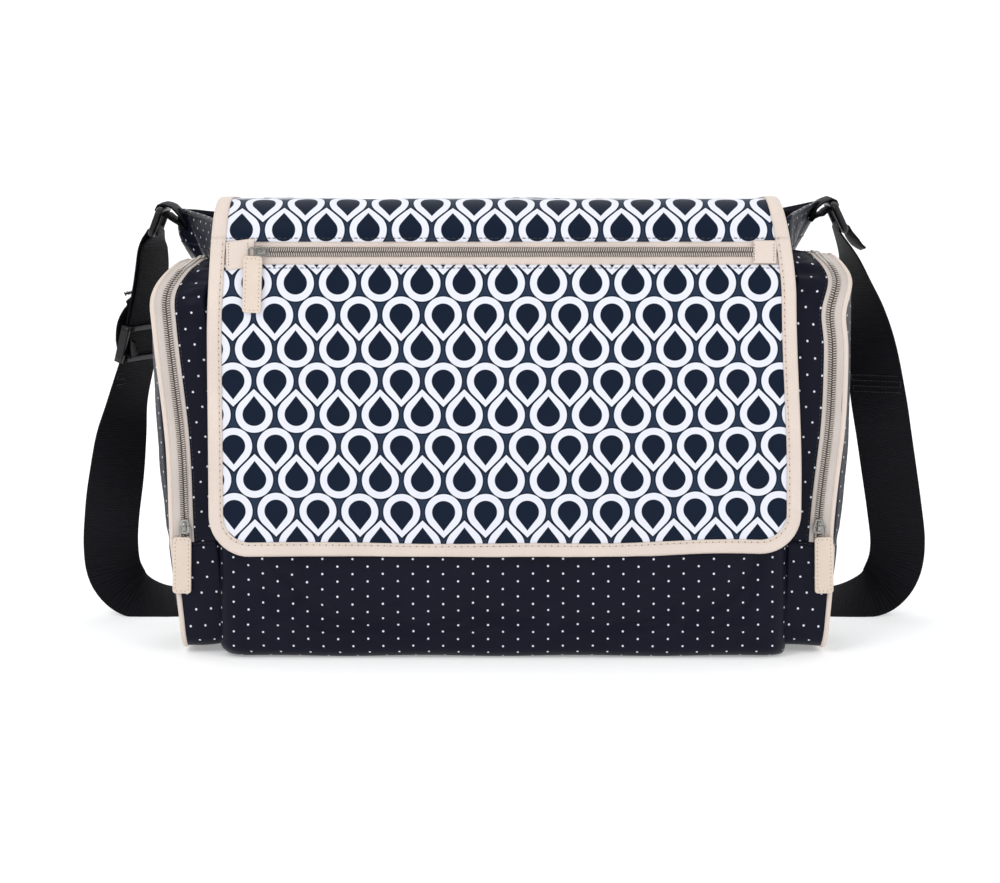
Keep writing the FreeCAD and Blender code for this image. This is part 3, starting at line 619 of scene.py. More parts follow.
@dataclass(frozen=True)
class DropPrint(Finish):
    """Laminated cloth printed with rows of ringed drops that point up and down by turns."""
    pitch_x: float = 31.17 * MM
    period: float = 48.9 * MM
    ring: float = 13.7 * MM
    ring_tip: float = 19.2 * MM
    core: float = 8.6 * MM
    core_tip: float = 14.0 * MM
    line: float = 1.0 * MM
    bleed: float = 0.12 * MM
    down_at: Pair = (-13.0 * MM, 33.4 * MM)
    up_at: Pair = (2.45 * MM, 8.2 * MM)
    ring_colour: str = "#E9EBF5"
    line_colour: str = "#0C1A2E"

    def drop(self, tree: Tree, across: Node, along: Node, radius: float, tip: float) -> Socket:
        """Distance to the outline of a drop: a disc of one radius drawn out to a tip.

        Args:
            tree: The material's node tree.
            across: Distance from the drop's axis, never negative.
            along: Distance from the disc's centre towards the tip.
            radius: Radius of the disc.
            tip: Distance of the tip from the disc's centre.

        Returns:
            Distance in metres, negative inside.
        """
        sine = radius / tip
        cosine = math.sqrt(1 - sine * sine)
        part = add(tree, "Math", {"operation": "MULTIPLY_ADD", "in:1": cosine, "in:2": -radius}, {0: across})
        flank = add(tree, "Math", {"operation": "MULTIPLY_ADD", "in:1": sine}, {0: along, 2: part})
        square = add(tree, "Math", {"operation": "MULTIPLY"}, {0: across, 1: across})
        both = add(tree, "Math", {"operation": "MULTIPLY_ADD"}, {0: along, 1: along, 2: square})
        root = add(tree, "Math", {"operation": "SQRT"}, {0: both})
        disc = add(tree, "Math", {"operation": "SUBTRACT", "in:1": radius}, {0: root})
        back = add(tree, "Math", {"operation": "MULTIPLY", "in:1": sine}, {0: across})
        side = add(tree, "Math", {"operation": "MULTIPLY_ADD", "in:1": -cosine}, {0: along, 2: back})
        rear = add(tree, "Math", {"operation": "GREATER_THAN", "in:1": 0.0}, {0: side})
        pick = add(tree, "Mix", {"data_type": "FLOAT"}, {0: rear, 2: flank, 3: disc})
        return pick.outputs[0]

    def step(self, tree: Tree, source: Node, edge: float, inside: float) -> Node:
        """Mask that is inside below a distance and its opposite above it, soft like a printed edge."""
        return add(tree, "MapRange", {"in:1": edge + self.bleed, "in:2": edge - self.bleed,
                                      "in:3": 1 - inside, "in:4": inside}, {0: source})

    def colours(self, tree: Tree, height: Socket) -> Socket:
        """Slate navy ground, dark outline and white ring of both sets of drops."""
        ground = super().colours(tree, height)
        place = cloth_place(tree)
        outer, inner = [], []
        middle = (self.ring_tip - self.ring) / 2
        for (x, s), points in ((self.down_at, -1.0), (self.up_at, 1.0)):
            column = repeat(tree, place.outputs[0], self.pitch_x, x)
            row = repeat(tree, place.outputs[1], self.period, s + points * middle)
            back = add(tree, "Math", {"operation": "MULTIPLY_ADD", "in:1": self.pitch_x,
                                      "in:2": -0.5 * self.pitch_x}, {0: column})
            across = add(tree, "Math", {"operation": "ABSOLUTE"}, {0: back})
            along = add(tree, "Math", {"operation": "MULTIPLY_ADD", "in:1": points * self.period,
                                       "in:2": middle - points * 0.5 * self.period}, {0: row})
            outer.append(self.drop(tree, across, along, self.ring, self.ring_tip))
            inner.append(self.drop(tree, across, along, self.core, self.core_tip))
        edge, hole = (add(tree, "Math", {"operation": "MINIMUM"}, dict(enumerate(pair)))
                      for pair in (outer, inner))
        rim = self.step(tree, edge, self.line, 1.0)
        core = add(tree, "Math", {"operation": "MULTIPLY"}, {0: self.step(tree, hole, 0.0, 1.0),
                                                             1: self.step(tree, hole, -0.8 * self.line, 0.0)})
        for mask in (rim, core):
            ground = add(tree, "Mix", {"data_type": "RGBA", "in:7": srgb(self.line_colour)},
                         {0: mask, 6: ground}).outputs[2]
        ring = add(tree, "Math", {"operation": "MULTIPLY"}, {0: self.step(tree, edge, 0.0, 1.0),
                                                             1: self.step(tree, hole, 0.0, 0.0)})
        mix = add(tree, "Mix", {"data_type": "RGBA", "in:7": srgb(self.ring_colour)}, {0: ring, 6: ground})
        return mix.outputs[2]


class Palette:
    """All finishes of the bag, made once."""

    def __init__(self) -> None:
        weave, ribbed, grain, cast = (Surface.PLAIN_WEAVE, Surface.RIBBED, Surface.GRAIN, Surface.CAST)
        # Polyester satin, woven and calendered: dark, with a soft sheen along its folds. Its threads of 0.15 mm are
        # too fine to show, so the weave is drawn at 0.7 mm, with painted shade in its hollows and a painted
        # highlight on its crests.
        self.satin = PinDotSatin("polyester satin, printed", "#0B0E20", 0.40, weave, 0.7 * MM, 0.05 * MM, 0.25,
                                 sheen=0.02, specular=0.13, second="#12162C").finish()
        self.plain_satin = Finish("polyester satin, plain", "#0B0D1C", 0.42, weave, 0.7 * MM, 0.05 * MM, 0.25,
                                  sheen=0.02, specular=0.13).finish()
        # Cotton twill laminated with a clear film: an even print under a low gloss.
        self.printed = DropPrint("laminated cotton, printed", "#27354B", 0.40, weave, 0.8 * MM, 0.04 * MM, 0.10,
                                 specular=0.12).finish()
        # Taffeta, woven and dyed: black with a faint shine. Drawn at 0.7 mm for threads of 0.2 mm.
        self.lining = Finish("nylon taffeta, dyed", "#08090C", 0.6, weave, 0.7 * MM, 0.05 * MM, 0.3,
                             sheen=0.02, specular=0.08).finish()
        # PU leatherette, embossed with a fine grain of 0.5 mm, drawn at 0.9 mm so that it shows.
        self.leatherette = Finish("PU leatherette, embossed", "#E9DACF", 0.48, grain, 0.9 * MM, 0.10 * MM, 0.10,
                                  specular=0.4).finish()
        self.pull_leather = Finish("PU leatherette, pressed", "#EBDACB", 0.5, grain, 0.8 * MM, 0.12 * MM, 0.14,
                                   specular=0.4).finish()
        # Polyester zip tape, woven with a herringbone of 0.4 mm, drawn at 0.8 mm.
        self.tape = Finish("polyester tape, woven", "#EEDFD5", 0.7, weave, 0.8 * MM, 0.12 * MM, 0.16).finish()
        self.side_tape = Finish("polyester tape, woven, grey", "#DDD2CB", 0.7, weave, 0.8 * MM, 0.12 * MM,
                                0.18).finish()
        # Nylon coil, drawn and metallised: pale silver brown with small glints, partly from its metal and partly a
        # painted highlight on the crests of its speckle.
        self.coil = Finish("nylon coil, metallised", "#D6CDC5", 0.30, cast, 0.5 * MM, 0.03 * MM, 0.2,
                           metallic=0.5, second="#EAE4DE").finish()
        # Cord under the coil and painted shade between its teeth: dark taupe, so that the teeth stand out.
        self.coil_cord = Finish("polyester cord, shaded", "#6E5F56", 0.8, cast, 0.5 * MM, 0.05 * MM, 0.3).finish()
        # Zinc alloy, die cast and nickel plated: bright, lightly rubbed, with painted shade in the hollows and a
        # painted highlight on the crests of its fine speckle.
        self.nickel = Finish("zinc alloy, nickel plated", "#8E8C89", 0.26, cast, 1.2 * MM, 0.02 * MM, 0.25,
                             metallic=1.0, second="#B4B2AE").finish()
        # Polypropylene webbing, woven in ribs 1.5 mm apart across its width: nearly black, dull, with painted shade
        # between the ribs and a painted highlight on their crests.
        self.webbing = Finish("polypropylene webbing, ribbed", "#030305", 0.7, ribbed, 1.5 * MM, 0.45 * MM, 0.5,
                              sheen=0.02, specular=0.14, second="#17161E").finish()
        # Acetal, injection moulded with a satin mould finish.
        self.acetal = Finish("acetal, moulded", "#121216", 0.34, cast, 0.6 * MM, 0.03 * MM, 0.15,
                             specular=0.35).finish()
        self.foam = Finish("polyethylene foam, skived", "#D8D6D0", 0.85, cast, 1.5 * MM, 0.2 * MM, 0.12).finish()
        self.board = Finish("polypropylene sheet, extruded", "#1C1C20", 0.55, cast, 1.0 * MM, 0.05 * MM,
                            0.1).finish()
        self.hook = Finish("nylon hook tape, woven", "#14161F", 0.9, cast, 0.9 * MM, 0.5 * MM, 0.5,
                           sheen=0.3).finish()
        # Spun polyester thread.
        self.cream_thread = Finish("polyester thread, cream", "#E9D8C8", 0.7, cast, 0.3 * MM, 0.02 * MM,
                                   0.15).finish()
        self.dark_thread = Finish("polyester thread, navy", "#0B0C14", 0.6, cast, 0.3 * MM, 0.02 * MM, 0.15,
                                  sheen=0.2).finish()
        # Dark taupe of the needle holes and stitch holes in the leatherette: painted shade.
        self.needle_hole_shade = Finish("needle hole, shaded", "#8D7464", 0.9, cast, 0.3 * MM, 0.02 * MM, 0.3).finish()


# ---- flap

@dataclass
class FlapSurface:
    """Shape of the flap: up its leaning front, round the bend, back over the top and down to its seam.

    A place on it is x across the bag, s along the cloth from the hem and an inset under the outer face.
    """
    bend: float = 30 * MM
    thickness: float = 5.3 * MM
    corner: float = 30 * MM
    rear_bend: float = 8 * MM
    seam_drop: float = 26 * MM
    taper: float = 7.0 * MM
    hem_rise: float = 3.2 * MM
    unevenness: float = 0.9 * MM

    def __post_init__(self) -> None:
        low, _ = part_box("flap_lower_cloth")
        _, top_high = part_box("flap_top_cloth")
        up = joint("flap_puller_swing")["axis"]
        lean = math.atan2(up[1], up[2])
        self.half = top_high.x
        self.foot = np.array([low.y, low.z])
        self.up = np.array([math.sin(lean), math.cos(lean)])
        inward = np.array([math.cos(lean), -math.sin(lean)])
        centre_z = top_high.z - self.bend
        self.straight = (centre_z + self.bend * math.sin(lean) - low.z) / math.cos(lean)
        centre = self.foot + self.up * self.straight + inward * self.bend
        rear = np.array([top_high.y + 1 * MM, joint("flap_hinge")["pos_m"][2] + self.thickness / 2])
        slope = math.atan2(centre[1] + self.bend - rear[1], rear[0] - centre[0])
        places, normals = [], []
        for s in np.linspace(0, self.straight, 60)[:-1]:
            places.append(self.foot + self.up * s)
            normals.append(-inward)
        begin, end = math.pi - lean, math.pi / 2 - slope
        for angle in np.linspace(begin, end, 40):
            out = np.array([math.cos(angle), math.sin(angle)])
            places.append(centre + out * self.bend)
            normals.append(out)
        self.crest = self.straight + self.bend * (begin - end)
        forward = np.array([math.cos(slope), -math.sin(slope)])
        run = rear[0] - places[-1][0]
        crest_out = normals[-1]
        corner_start = places[-1] + forward * run
        for t in np.linspace(0, 1, 20)[1:]:
            swell = 1.6 * MM * math.sin(math.pi * t)
            places.append(corner_start - forward * run * (1 - t) + crest_out * swell)
            normals.append(crest_out)
        self.rear = self.crest + run
        turn_centre = corner_start - crest_out * self.rear_bend
        for angle in np.linspace(end, 0, 12)[1:]:
            out = np.array([math.cos(angle), math.sin(angle)])
            places.append(turn_centre + out * self.rear_bend)
            normals.append(out)
        for t in np.linspace(0, 1, 8)[1:]:
            places.append(turn_centre + np.array([self.rear_bend, -self.seam_drop * t]))
            normals.append(np.array([1.0, 0.0]))
        self.places, self.normals = np.array(places), np.array(normals)
        self.reach = travelled(self.places)
        self.end = float(self.reach[-1])
        self.middle_top = (self.crest + self.rear) / 2

    def edge(self, side: int, s: Grid | float) -> Grid | float:
        """Place of the flap's side edge: the right one runs out a little towards the hem."""
        if side < 0:
            return -self.half - 1.2 * MM + self.taper * smooth(s, 0.16, 0.30)
        narrower = 5.2 * MM * smooth(s, 0.05, 0.20) + 1.6 * self.taper * smooth(s, 0.19, 0.29)
        return self.half + 4.0 * MM - narrower

    def at(self, x: Grid, s: Grid, inset: float | Grid = 0.0) -> Grid:
        """Places in the frame.

        Args:
            x: Distances across the bag.
            s: Distances along the cloth.
            inset: Depth under the outer face.

        Returns:
            Places, in a last dimension of 3.
        """
        x, s = np.broadcast_arrays(np.asarray(x, float), np.asarray(s, float))
        rise = self.hem_rise * smooth(x, 0.05, 0.19) + 1.4 * MM * np.exp(-((x + 0.175) / 0.05) ** 2)
        wavy = 0.5 * MM * np.sin(x * 46 + 0.6) * np.exp(-s / 0.05)
        moved = s + (rise + wavy) * np.clip(1 - s / 0.15, 0, 1)
        y, z = (np.interp(moved, self.reach, self.places[:, i]) for i in (0, 1))
        ny, nz = (np.interp(moved, self.reach, self.normals[:, i]) for i in (0, 1))
        length = np.maximum(np.hypot(ny, nz), 1e-9)
        ny, nz = ny / length, nz / length
        calm = smooth(s, self.end, self.rear - 0.02)
        soft = self.unevenness * ripple(x, s, 0.17, 0.7) * calm
        belly = 1.8 * MM * np.cos(np.clip(x / self.half, -1, 1) * math.pi / 2) * np.sin(
            np.clip(s / self.straight, 0, 1) * math.pi)
        hem = 1.3 * MM * np.sin(x * 31 + 1.0) * np.exp(-s / 0.04)
        out = soft + belly + hem - np.asarray(inset)
        return np.stack([x, y + ny * out, z + nz * out], axis=-1)

    def outline(self, low: float, high: float, spacing: float = 4 * MM) -> Grid:
        """Cloth distances between two of them, evenly spaced."""
        return np.linspace(low, high, max(2, int(round((high - low) / spacing)) + 1))

    def patch(self, low: float, high: float, inset: float, margin: float = 0.0,
              spacing: float = 4 * MM) -> tuple[Grid, Grid]:
        """Grid of places and cloth coordinates between two distances from the hem.

        Args:
            low: Distance where it starts.
            high: Distance where it ends.
            inset: Depth under the outer face.
            margin: How far inside the flap's side edges it stays.
            spacing: Distance between grid lines.

        Returns:
            Places and cloth coordinates.
        """
        rows = self.outline(low, high, spacing)
        columns = np.linspace(-1, 1, int(2 * self.half / spacing) + 1)
        pull = np.where(rows < self.corner, self.corner - np.sqrt(np.maximum(
            self.corner ** 2 - (self.corner - rows) ** 2, 0)), 0.0)
        left = self.edge(-1, rows) + pull + margin
        right = self.edge(1, rows) - pull - margin
        x = left[:, None] + (right - left)[:, None] * (columns[None, :] + 1) / 2
        s = np.repeat(rows[:, None], len(columns), axis=1)
        return self.at(x, s, inset), np.stack([x, s], axis=-1)


@dataclass
class Flap:
    """Printed flap: cloth, facing, binding, seams and the zip pocket across it."""
    surface: FlapSurface
    paint: Palette
    binding: float = 10 * MM
    leg: float = 1.0 * MM
    cloth: float = 1.4 * MM
    zip_middle: float = 226 * MM
    band: float = 17.5 * MM
    stitch: float = 4.8 * MM
    upper_phase: Pair = (-22.8 * MM, 9.7 * MM)

    def __post_init__(self) -> None:
        shape = self.surface
        self.zip_low = self.zip_middle - self.band / 2
        self.zip_high = self.zip_middle + self.band / 2 - 0.6 * MM
        self.fold = (tuple(shape.at(0.0, shape.crest, 0.0)), tuple(shape.at(0.0, shape.straight, 0.0)))
        hinge = Vector(joint("flap_hinge")["pos_m"])
        self.hinge = (tuple(hinge + Vector((0, 6 * MM, -9 * MM))),
                      tuple(hinge + Vector((0, -12 * MM, 6 * MM))))

    def sheet(self, name: str, low: float, high: float, inset: float, phase: Pair,
              material: Material, flip: bool = False, margin: float = 0.6 * MM) -> Piece:
        """One layer of the flap between two distances from the hem."""
        places, cloth = self.surface.patch(low, high, inset, margin)
        obj = grid_mesh(name, places, cloth + np.array(phase), material, flip=flip)
        return thicken(obj, self.cloth)

    def rim(self) -> Grid:
        """Rows of x, s, inward x, inward s round the flap's edge, from the back left to the back right."""
        shape = self.surface
        r = shape.corner
        rows = []
        for s in shape.outline(r, shape.end, 3 * MM)[::-1]:
            rows.append((float(shape.edge(-1, s)), s, 1.0, 0.0))
        left, right = float(shape.edge(-1, 0.0)), float(shape.edge(1, 0.0))
        for angle in np.linspace(0, math.pi / 2, 12)[1:]:
            rows.append((left + r - r * math.cos(angle), r - r * math.sin(angle), math.cos(angle),
                         math.sin(angle)))
        for x in np.linspace(left + r, right - r, 120)[1:]:
            rows.append((x, 0.0, 0.0, 1.0))
        for angle in np.linspace(math.pi / 2, 0, 12)[1:]:
            rows.append((right - r + r * math.cos(angle), r - r * math.sin(angle), -math.cos(angle),
                         math.sin(angle)))
        for s in shape.outline(r, shape.end, 3 * MM)[1:]:
            rows.append((float(shape.edge(1, s)), s, -1.0, 0.0))
        return np.array(rows)

    def rim_profile(self) -> Grid:
        """Section of the binding as (distance in from the edge, inset), going round it once."""
        deep = self.surface.thickness
        leg, wide = self.leg, self.binding
        return np.array([(wide, -0.2 * MM), (wide - 0.3 * MM, -leg), (wide * 0.55, -leg * 1.25),
                         (1.2 * MM, -leg * 1.2), (-0.2 * MM, -leg * 0.5), (-leg, 1.2 * MM), (-leg * 1.2, deep / 2),
                         (-leg, deep - 1.2 * MM), (-0.2 * MM, deep + leg * 0.5), (1.2 * MM, deep + leg),
                         (wide - 0.3 * MM, deep + leg * 0.9), (wide, deep + 0.2 * MM), (wide * 0.5, deep - 0.2 * MM),
                         (0.8 * MM, deep - 0.8 * MM), (0.8 * MM, 0.8 * MM), (wide * 0.5, 0.2 * MM)])

    def strip(self, name: str, rows: Grid) -> Piece:
        """Binding over a stretch of the rim."""
        profile = self.rim_profile()
        wrinkle = 0.12 * MM * np.sin(rows[:, 0] * 900 + rows[:, 1] * 1100)
        x = rows[:, 0, None] + rows[:, 2, None] * profile[None, :, 0]
        s = rows[:, 1, None] + rows[:, 3, None] * profile[None, :, 0]
        points = self.surface.at(x, s, profile[None, :, 1] - wrinkle[:, None] * (profile[None, :, 1] < 0))
        count, sides = points.shape[:2]
        faces = [[r * sides + c, r * sides + (c + 1) % sides, (r + 1) * sides + (c + 1) % sides,
                  (r + 1) * sides + c] for r in range(count - 1) for c in range(sides)]
        faces.append(list(range(sides))[::-1])
        faces.append([(count - 1) * sides + c for c in range(sides)])
        flat = np.stack([x, s], axis=-1).reshape(-1, 2)
        corners = np.array([flat[v] for f in faces for v in f])
        return outward(make_mesh(name, points.reshape(-1, 3), faces, corners, self.paint.leatherette))

    def seam(self, name: str, rows: Grid, inset: float, pitch: float, material: Material,
             length: float = 3.4 * MM, radius: float = 0.32 * MM, phase: float = 0.5) -> Piece:
        """Stitches along rows of (x, s)."""
        path = self.surface.at(rows[:, 0], rows[:, 1], inset)
        out = self.surface.at(rows[:, 0], rows[:, 1], inset - 1 * MM) - path
        return pins_along(name, path, unit(out), pitch, length, radius, material, phase)

    def build(self) -> None:
        """Makes and fastens every piece of the flap."""
        shape, paint = self.surface, self.paint
        outside, plain = 0.2 * MM, (0.0, 0.0)
        front = self.sheet("flap_front_print", 1 * MM, self.zip_low, outside, plain, paint.printed)
        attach(front, "flap_front")
        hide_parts("flap_lower_cloth")
        over = self.sheet("flap_bend_print", self.zip_high, shape.middle_top, outside, self.upper_phase,
                          paint.printed)
        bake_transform(over, "flap_top", "flap_front", *self.fold)
        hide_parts("flap_bend_cloth")
        rear = self.sheet("flap_back_print", shape.middle_top, shape.end, outside, self.upper_phase,
                          paint.printed)
        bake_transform(rear, "bag", "flap_top", *self.hinge)
        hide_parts("flap_top_cloth")
        deep = shape.thickness - 0.3 * MM
        facing, facing_over, facing_rear = (
            self.sheet(name, low, high, deep, plain, paint.lining, True) for name, low, high in (
                ("flap_front_lining", 1 * MM, shape.straight),
                ("flap_bend_lining", shape.straight, shape.middle_top),
                ("flap_back_lining", shape.middle_top, shape.end)))
        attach(facing, "flap_front")
        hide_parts("flap_front_facing", "flap_pocket_sheet")
        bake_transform(facing_over, "flap_top", "flap_front", *self.fold)
        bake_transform(facing_rear, "bag", "flap_top", *self.hinge)
        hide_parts("flap_top_facing")
        self.build_binding()
        self.build_zip()
        self.build_closure()

    def build_binding(self) -> None:
        """Binding in three stretches, so that it turns with the flap, and its seam."""
        shape = self.surface
        rows = self.rim()
        s = rows[:, 1]
        first = np.arange(len(rows)) < len(rows) // 2
        lower = rows[s <= shape.straight + 1 * MM]
        front = self.strip("flap_front_edging", lower)
        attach(front, "flap_front")
        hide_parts("flap_front_binding")
        stretches = (("flap_bend_edging", lower[0][1], shape.middle_top, ("flap_top", "flap_front"),
                      self.fold),
                     ("flap_back_edging", shape.middle_top, shape.end, ("bag", "flap_top"), self.hinge))
        for name, low, high, bodies, ends in stretches:
            halves = []
            for left in (True, False):
                part = rows[(first == left) & (s > low) & (s < high)]
                tips = []
                for place in (low, high):
                    x = float(shape.edge(-1 if left else 1, place))
                    tips.append((x, place, 1.0 if left else -1.0, 0.0))
                start, stop = (tips[1], tips[0]) if left else (tips[0], tips[1])
                halves.append(self.strip(name, np.vstack([start, part, stop])))
            both = joined(name, halves)
            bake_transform(both, *bodies, *ends)
            if name == "flap_back_edging":
                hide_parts("flap_top_binding")
        track = lower.copy()
        track[:, 0] += track[:, 2] * (self.binding - 2 * MM)
        track[:, 1] += track[:, 3] * (self.binding - 2 * MM)
        track = track[track[:, 1] < self.zip_middle + 40 * MM]
        thread = self.seam("flap_edge_stitches", track, -self.leg * 1.16, self.stitch,
                           self.paint.cream_thread)
        # Dark marks under the thread: painted shade in the needle holes.
        holes = self.seam("flap_edge_needle_hole_shade", track, -self.leg * 1.12, self.stitch,
                          self.paint.needle_hole_shade, 1.0 * MM, 0.42 * MM, 1.0)
        for piece in (thread, holes):
            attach(piece, "flap_front")

    def build_zip(self) -> None:
        """Tapes, chain, end tabs, topstitching, slider and puller across the flap."""
        shape, paint = self.surface, self.paint
        reach = shape.half - self.binding - 0.5 * MM
        tab, chain, half = 19 * MM, 3.1 * MM, 3.4 * MM
        middle = self.zip_middle + 0.6 * MM
        parts = []
        for low, high in ((self.zip_low - 4 * MM, middle - chain + 0.9 * MM),
                          (middle + chain - 0.9 * MM, self.zip_high + 4 * MM)):
            rows = shape.outline(low, high, 1.5 * MM)
            columns = np.linspace(-reach, reach, 140)
            x, s = np.meshgrid(columns, rows)
            inset = 1.3 * MM + 0.2 * MM * np.sin(x * 140)
            part = grid_mesh("zip_tape", shape.at(x, s, inset), np.stack([x, s], axis=-1), paint.tape)
            parts.append(thicken(part, 0.8 * MM))
        tape = joined_with_modifiers("flap_zip_tape", parts)
        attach(tape, "flap_front")
        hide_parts("flap_zip_tapes")
        span = reach - tab
        teeth = coil_teeth("teeth", lambda t, w: shape.at(-span + t, middle + w, 0.15 * MM), 2 * span,
                           paint.coil, pitch=1.65 * MM, half=half)
        # Dark taupe strip under the teeth: the coil's core and the painted shade between the teeth.
        x, s = np.meshgrid(np.linspace(-span, span, 140), np.linspace(middle - half, middle + half, 5))
        cord = grid_mesh("cord", shape.at(x, s, 0.6 * MM), np.stack([x, s], axis=-1), paint.coil_cord)
        teeth = joined_with_modifiers("flap_zip_teeth", [teeth, thicken(cord, 0.4 * MM)])
        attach(teeth, "flap_front")
        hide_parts("flap_zip_chain")
        tabs = []
        for side in (-1, 1):
            x0 = float(shape.edge(side, middle)) - side * (self.binding + 0.6 * MM)
            columns = np.linspace(x0, x0 - side * (tab + (2 if side < 0 else -2) * MM), 14)
            rows = np.linspace(self.zip_low - (3 if side < 0 else -1) * MM, self.zip_high + 1 * MM, 12)
            x, s = np.meshgrid(columns, rows)
            if side < 0:
                s = s + (x - x0) * 0.13 - 1.2 * MM
            places = shape.at(x, s, -0.7 * MM)
            part = grid_mesh("tab", places, np.stack([x, s], axis=-1), paint.leatherette, flip=side > 0)
            tabs.append(thicken(part, 1.4 * MM))
            for offset in (2 * MM, tab * 0.86):
                lane = np.stack([np.full(9, x0 - side * offset), np.linspace(rows[1], rows[-2], 9)], axis=1)
                # Needle holes of the tab's stitching, drawn as painted shade.
                tabs.append(self.seam("tab_stitches", lane, -0.8 * MM, 2.2 * MM, paint.needle_hole_shade, 1.1 * MM,
                                      0.28 * MM))
        ends = joined_with_modifiers("flap_zip_tabs", tabs)
        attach(ends, "flap_front")
        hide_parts("flap_zip_end_tabs")
        seams = []
        for s in (self.zip_high + 2.6 * MM, self.zip_low - 2.4 * MM):
            lane = np.stack([np.linspace(-reach, reach, 160), np.full(160, s)], axis=1)
            seams.append(self.seam("zip_topstitch", lane, -0.1 * MM, 4.0 * MM, paint.dark_thread, 3.0 * MM,
                                   0.3 * MM))
        topstitch = joined("flap_zip_topstitch", seams)
        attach(topstitch, "flap_front")
        low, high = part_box("flap_zip_slider")
        centre = np.array((low + high) / 2)
        up = np.array(joint("flap_zip_slide")["axis"], float)
        tall = np.array([0.0, *shape.up])
        normal = np.cross(up, tall)
        slider = zip_slider("flap_zip_runner", shape.at(centre[0], middle, -0.2 * MM), -up, tall, normal,
                            paint.nickel)
        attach(slider, "flap_slider")
        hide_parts("flap_zip_slider")
        low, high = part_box("flap_puller_tab")
        pin = np.array(joint("flap_puller_swing")["pos_m"], float)
        top = pin + tall * (high.z - 0.3 * MM - pin[2]) / tall[2]
        top[0] = (low.x + high.x) / 2
        pull = puller("flap_zip_pull", top, unit(np.array([-0.035, 0.0, 0.0]) - unit(tall)), normal,
                      high.x - low.x + 2 * MM, high.z - low.z, paint)
        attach(pull, "flap_puller")
        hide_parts("flap_puller_tab")

    def build_closure(self) -> None:
        """Hook patches under the flap."""
        low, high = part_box("closure_hook_patches")
        foot = float(self.surface.foot[1])
        parts = []
        for side in (-1, 1):
            rows = np.linspace(low.z - foot, high.z - foot, 8)
            columns = np.linspace(side * high.x, side * (high.x - 55 * MM), 16)
            x, s = np.meshgrid(columns, rows)
            places = self.surface.at(x, s, self.surface.thickness + 1.4 * MM)
            part = grid_mesh("hook", places, np.stack([x, s], axis=-1), self.paint.hook, flip=side < 0)
            parts.append(thicken(part, 1.2 * MM))
        patches = joined_with_modifiers("flap_hook_patches", parts)
        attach(patches, "flap_front")
        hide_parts("closure_hook_patches")


# ---- zip hardware

def joined_with_modifiers(name: str, parts: Sequence[Piece]) -> Piece:
    """One object from several, each with its own thickness worked out first."""
    depsgraph = bpy.context.evaluated_depsgraph_get()
    for obj in parts:
        if obj.modifiers:
            depsgraph.update()
            solid = bpy.data.meshes.new_from_object(obj.evaluated_get(depsgraph))
            obj.modifiers.clear()
            obj.data = solid
    return joined(name, parts)


def coil_teeth(name: str, at: Callable[[Grid, Grid], Grid], length: float, material: Material,
               pitch: float = 1.5 * MM, half: float = 2.9 * MM, rows: Sequence[int] = (-1, 1)) -> Piece:
    """Rows of a nylon coil.

    Args:
        name: Name of the piece.
        at: Gives places from distances along the chain and across it.
        length: Length of the chain.
        material: Finish of the coil.
        pitch: Distance between teeth.
        half: Half of the chain's width.
        rows: Which halves to make, -1 and 1.

    Returns:
        The new object.
    """
    places, axes = [], []
    for row in rows:
        t = np.arange(pitch / 2, length, pitch) + (0.25 * pitch * row)
        w = np.full_like(t, row * half * 0.52)
        centre = at(t, w)
        along = unit(at(t + 0.5 * MM, w) - at(t - 0.5 * MM, w))
        across = unit(at(t, w + 0.5 * MM) - at(t, w - 0.5 * MM))
        lift = np.cross(along, across)
        slant = unit(across + along * 0.22 * row)
        places.append(centre)
        axes.append(np.stack([slant * half * 0.5, np.cross(lift, slant) * pitch * 0.29, lift * 0.75 * MM],
                             axis=1))
    return copies(name, capsule(4, 6), np.vstack(places), np.vstack(axes), material)


def zip_slider(name: str, centre: Grid, ahead: Grid, side: Grid, out: Grid, material: Material) -> Piece:
    """Cast zip slider: a shield-shaped plate, the plate behind it and the bridge that holds the link.

    Args:
        name: Name of the piece.
        centre: Its middle, on the face of the chain.
        ahead: Direction that it closes towards.
        side: Direction across the chain.
        out: Direction out of the chain.
        material: Finish of the casting.

    Returns:
        The new object.
    """
    shield = [(5.6, 1.6), (4.9, 3.4), (2.6, 4.4), (0.4, 4.1), (-2.2, 3.3), (-5.0, 3.0), (-5.6, 2.2)]
    outline = [(a * MM, b * MM) for a, b in shield] + [(a * MM, -b * MM) for a, b in shield[::-1]]
    parts = [plate("front_plate", outline, 1.1 * MM, 0.35 * MM, centre + out * 1.2 * MM, ahead, side,
                   material),
             plate("back_plate", outline, 1.0 * MM, 0.3 * MM, centre - out * 2.6 * MM, ahead, side, material)]
    path = []
    for angle in np.linspace(0, math.pi, 13):
        height = 1.4 * MM + 3.1 * MM * math.sin(angle) ** 0.7
        path.append(centre + ahead * 3.5 * MM * math.cos(angle) + out * height)
    path = np.array(path)
    along = unit(np.gradient(path, axis=0))
    wide = np.repeat(side[None, :], len(path), axis=0)
    high = np.cross(along, wide)
    parts.append(sweep("bridge", path, wide, high, soft_bar(2.6 * MM, 1.0 * MM, 0.4 * MM), material))
    obj = joined_with_modifiers(name, parts)
    obj.data.polygons.foreach_set("use_smooth", [True] * len(obj.data.polygons))
    return obj


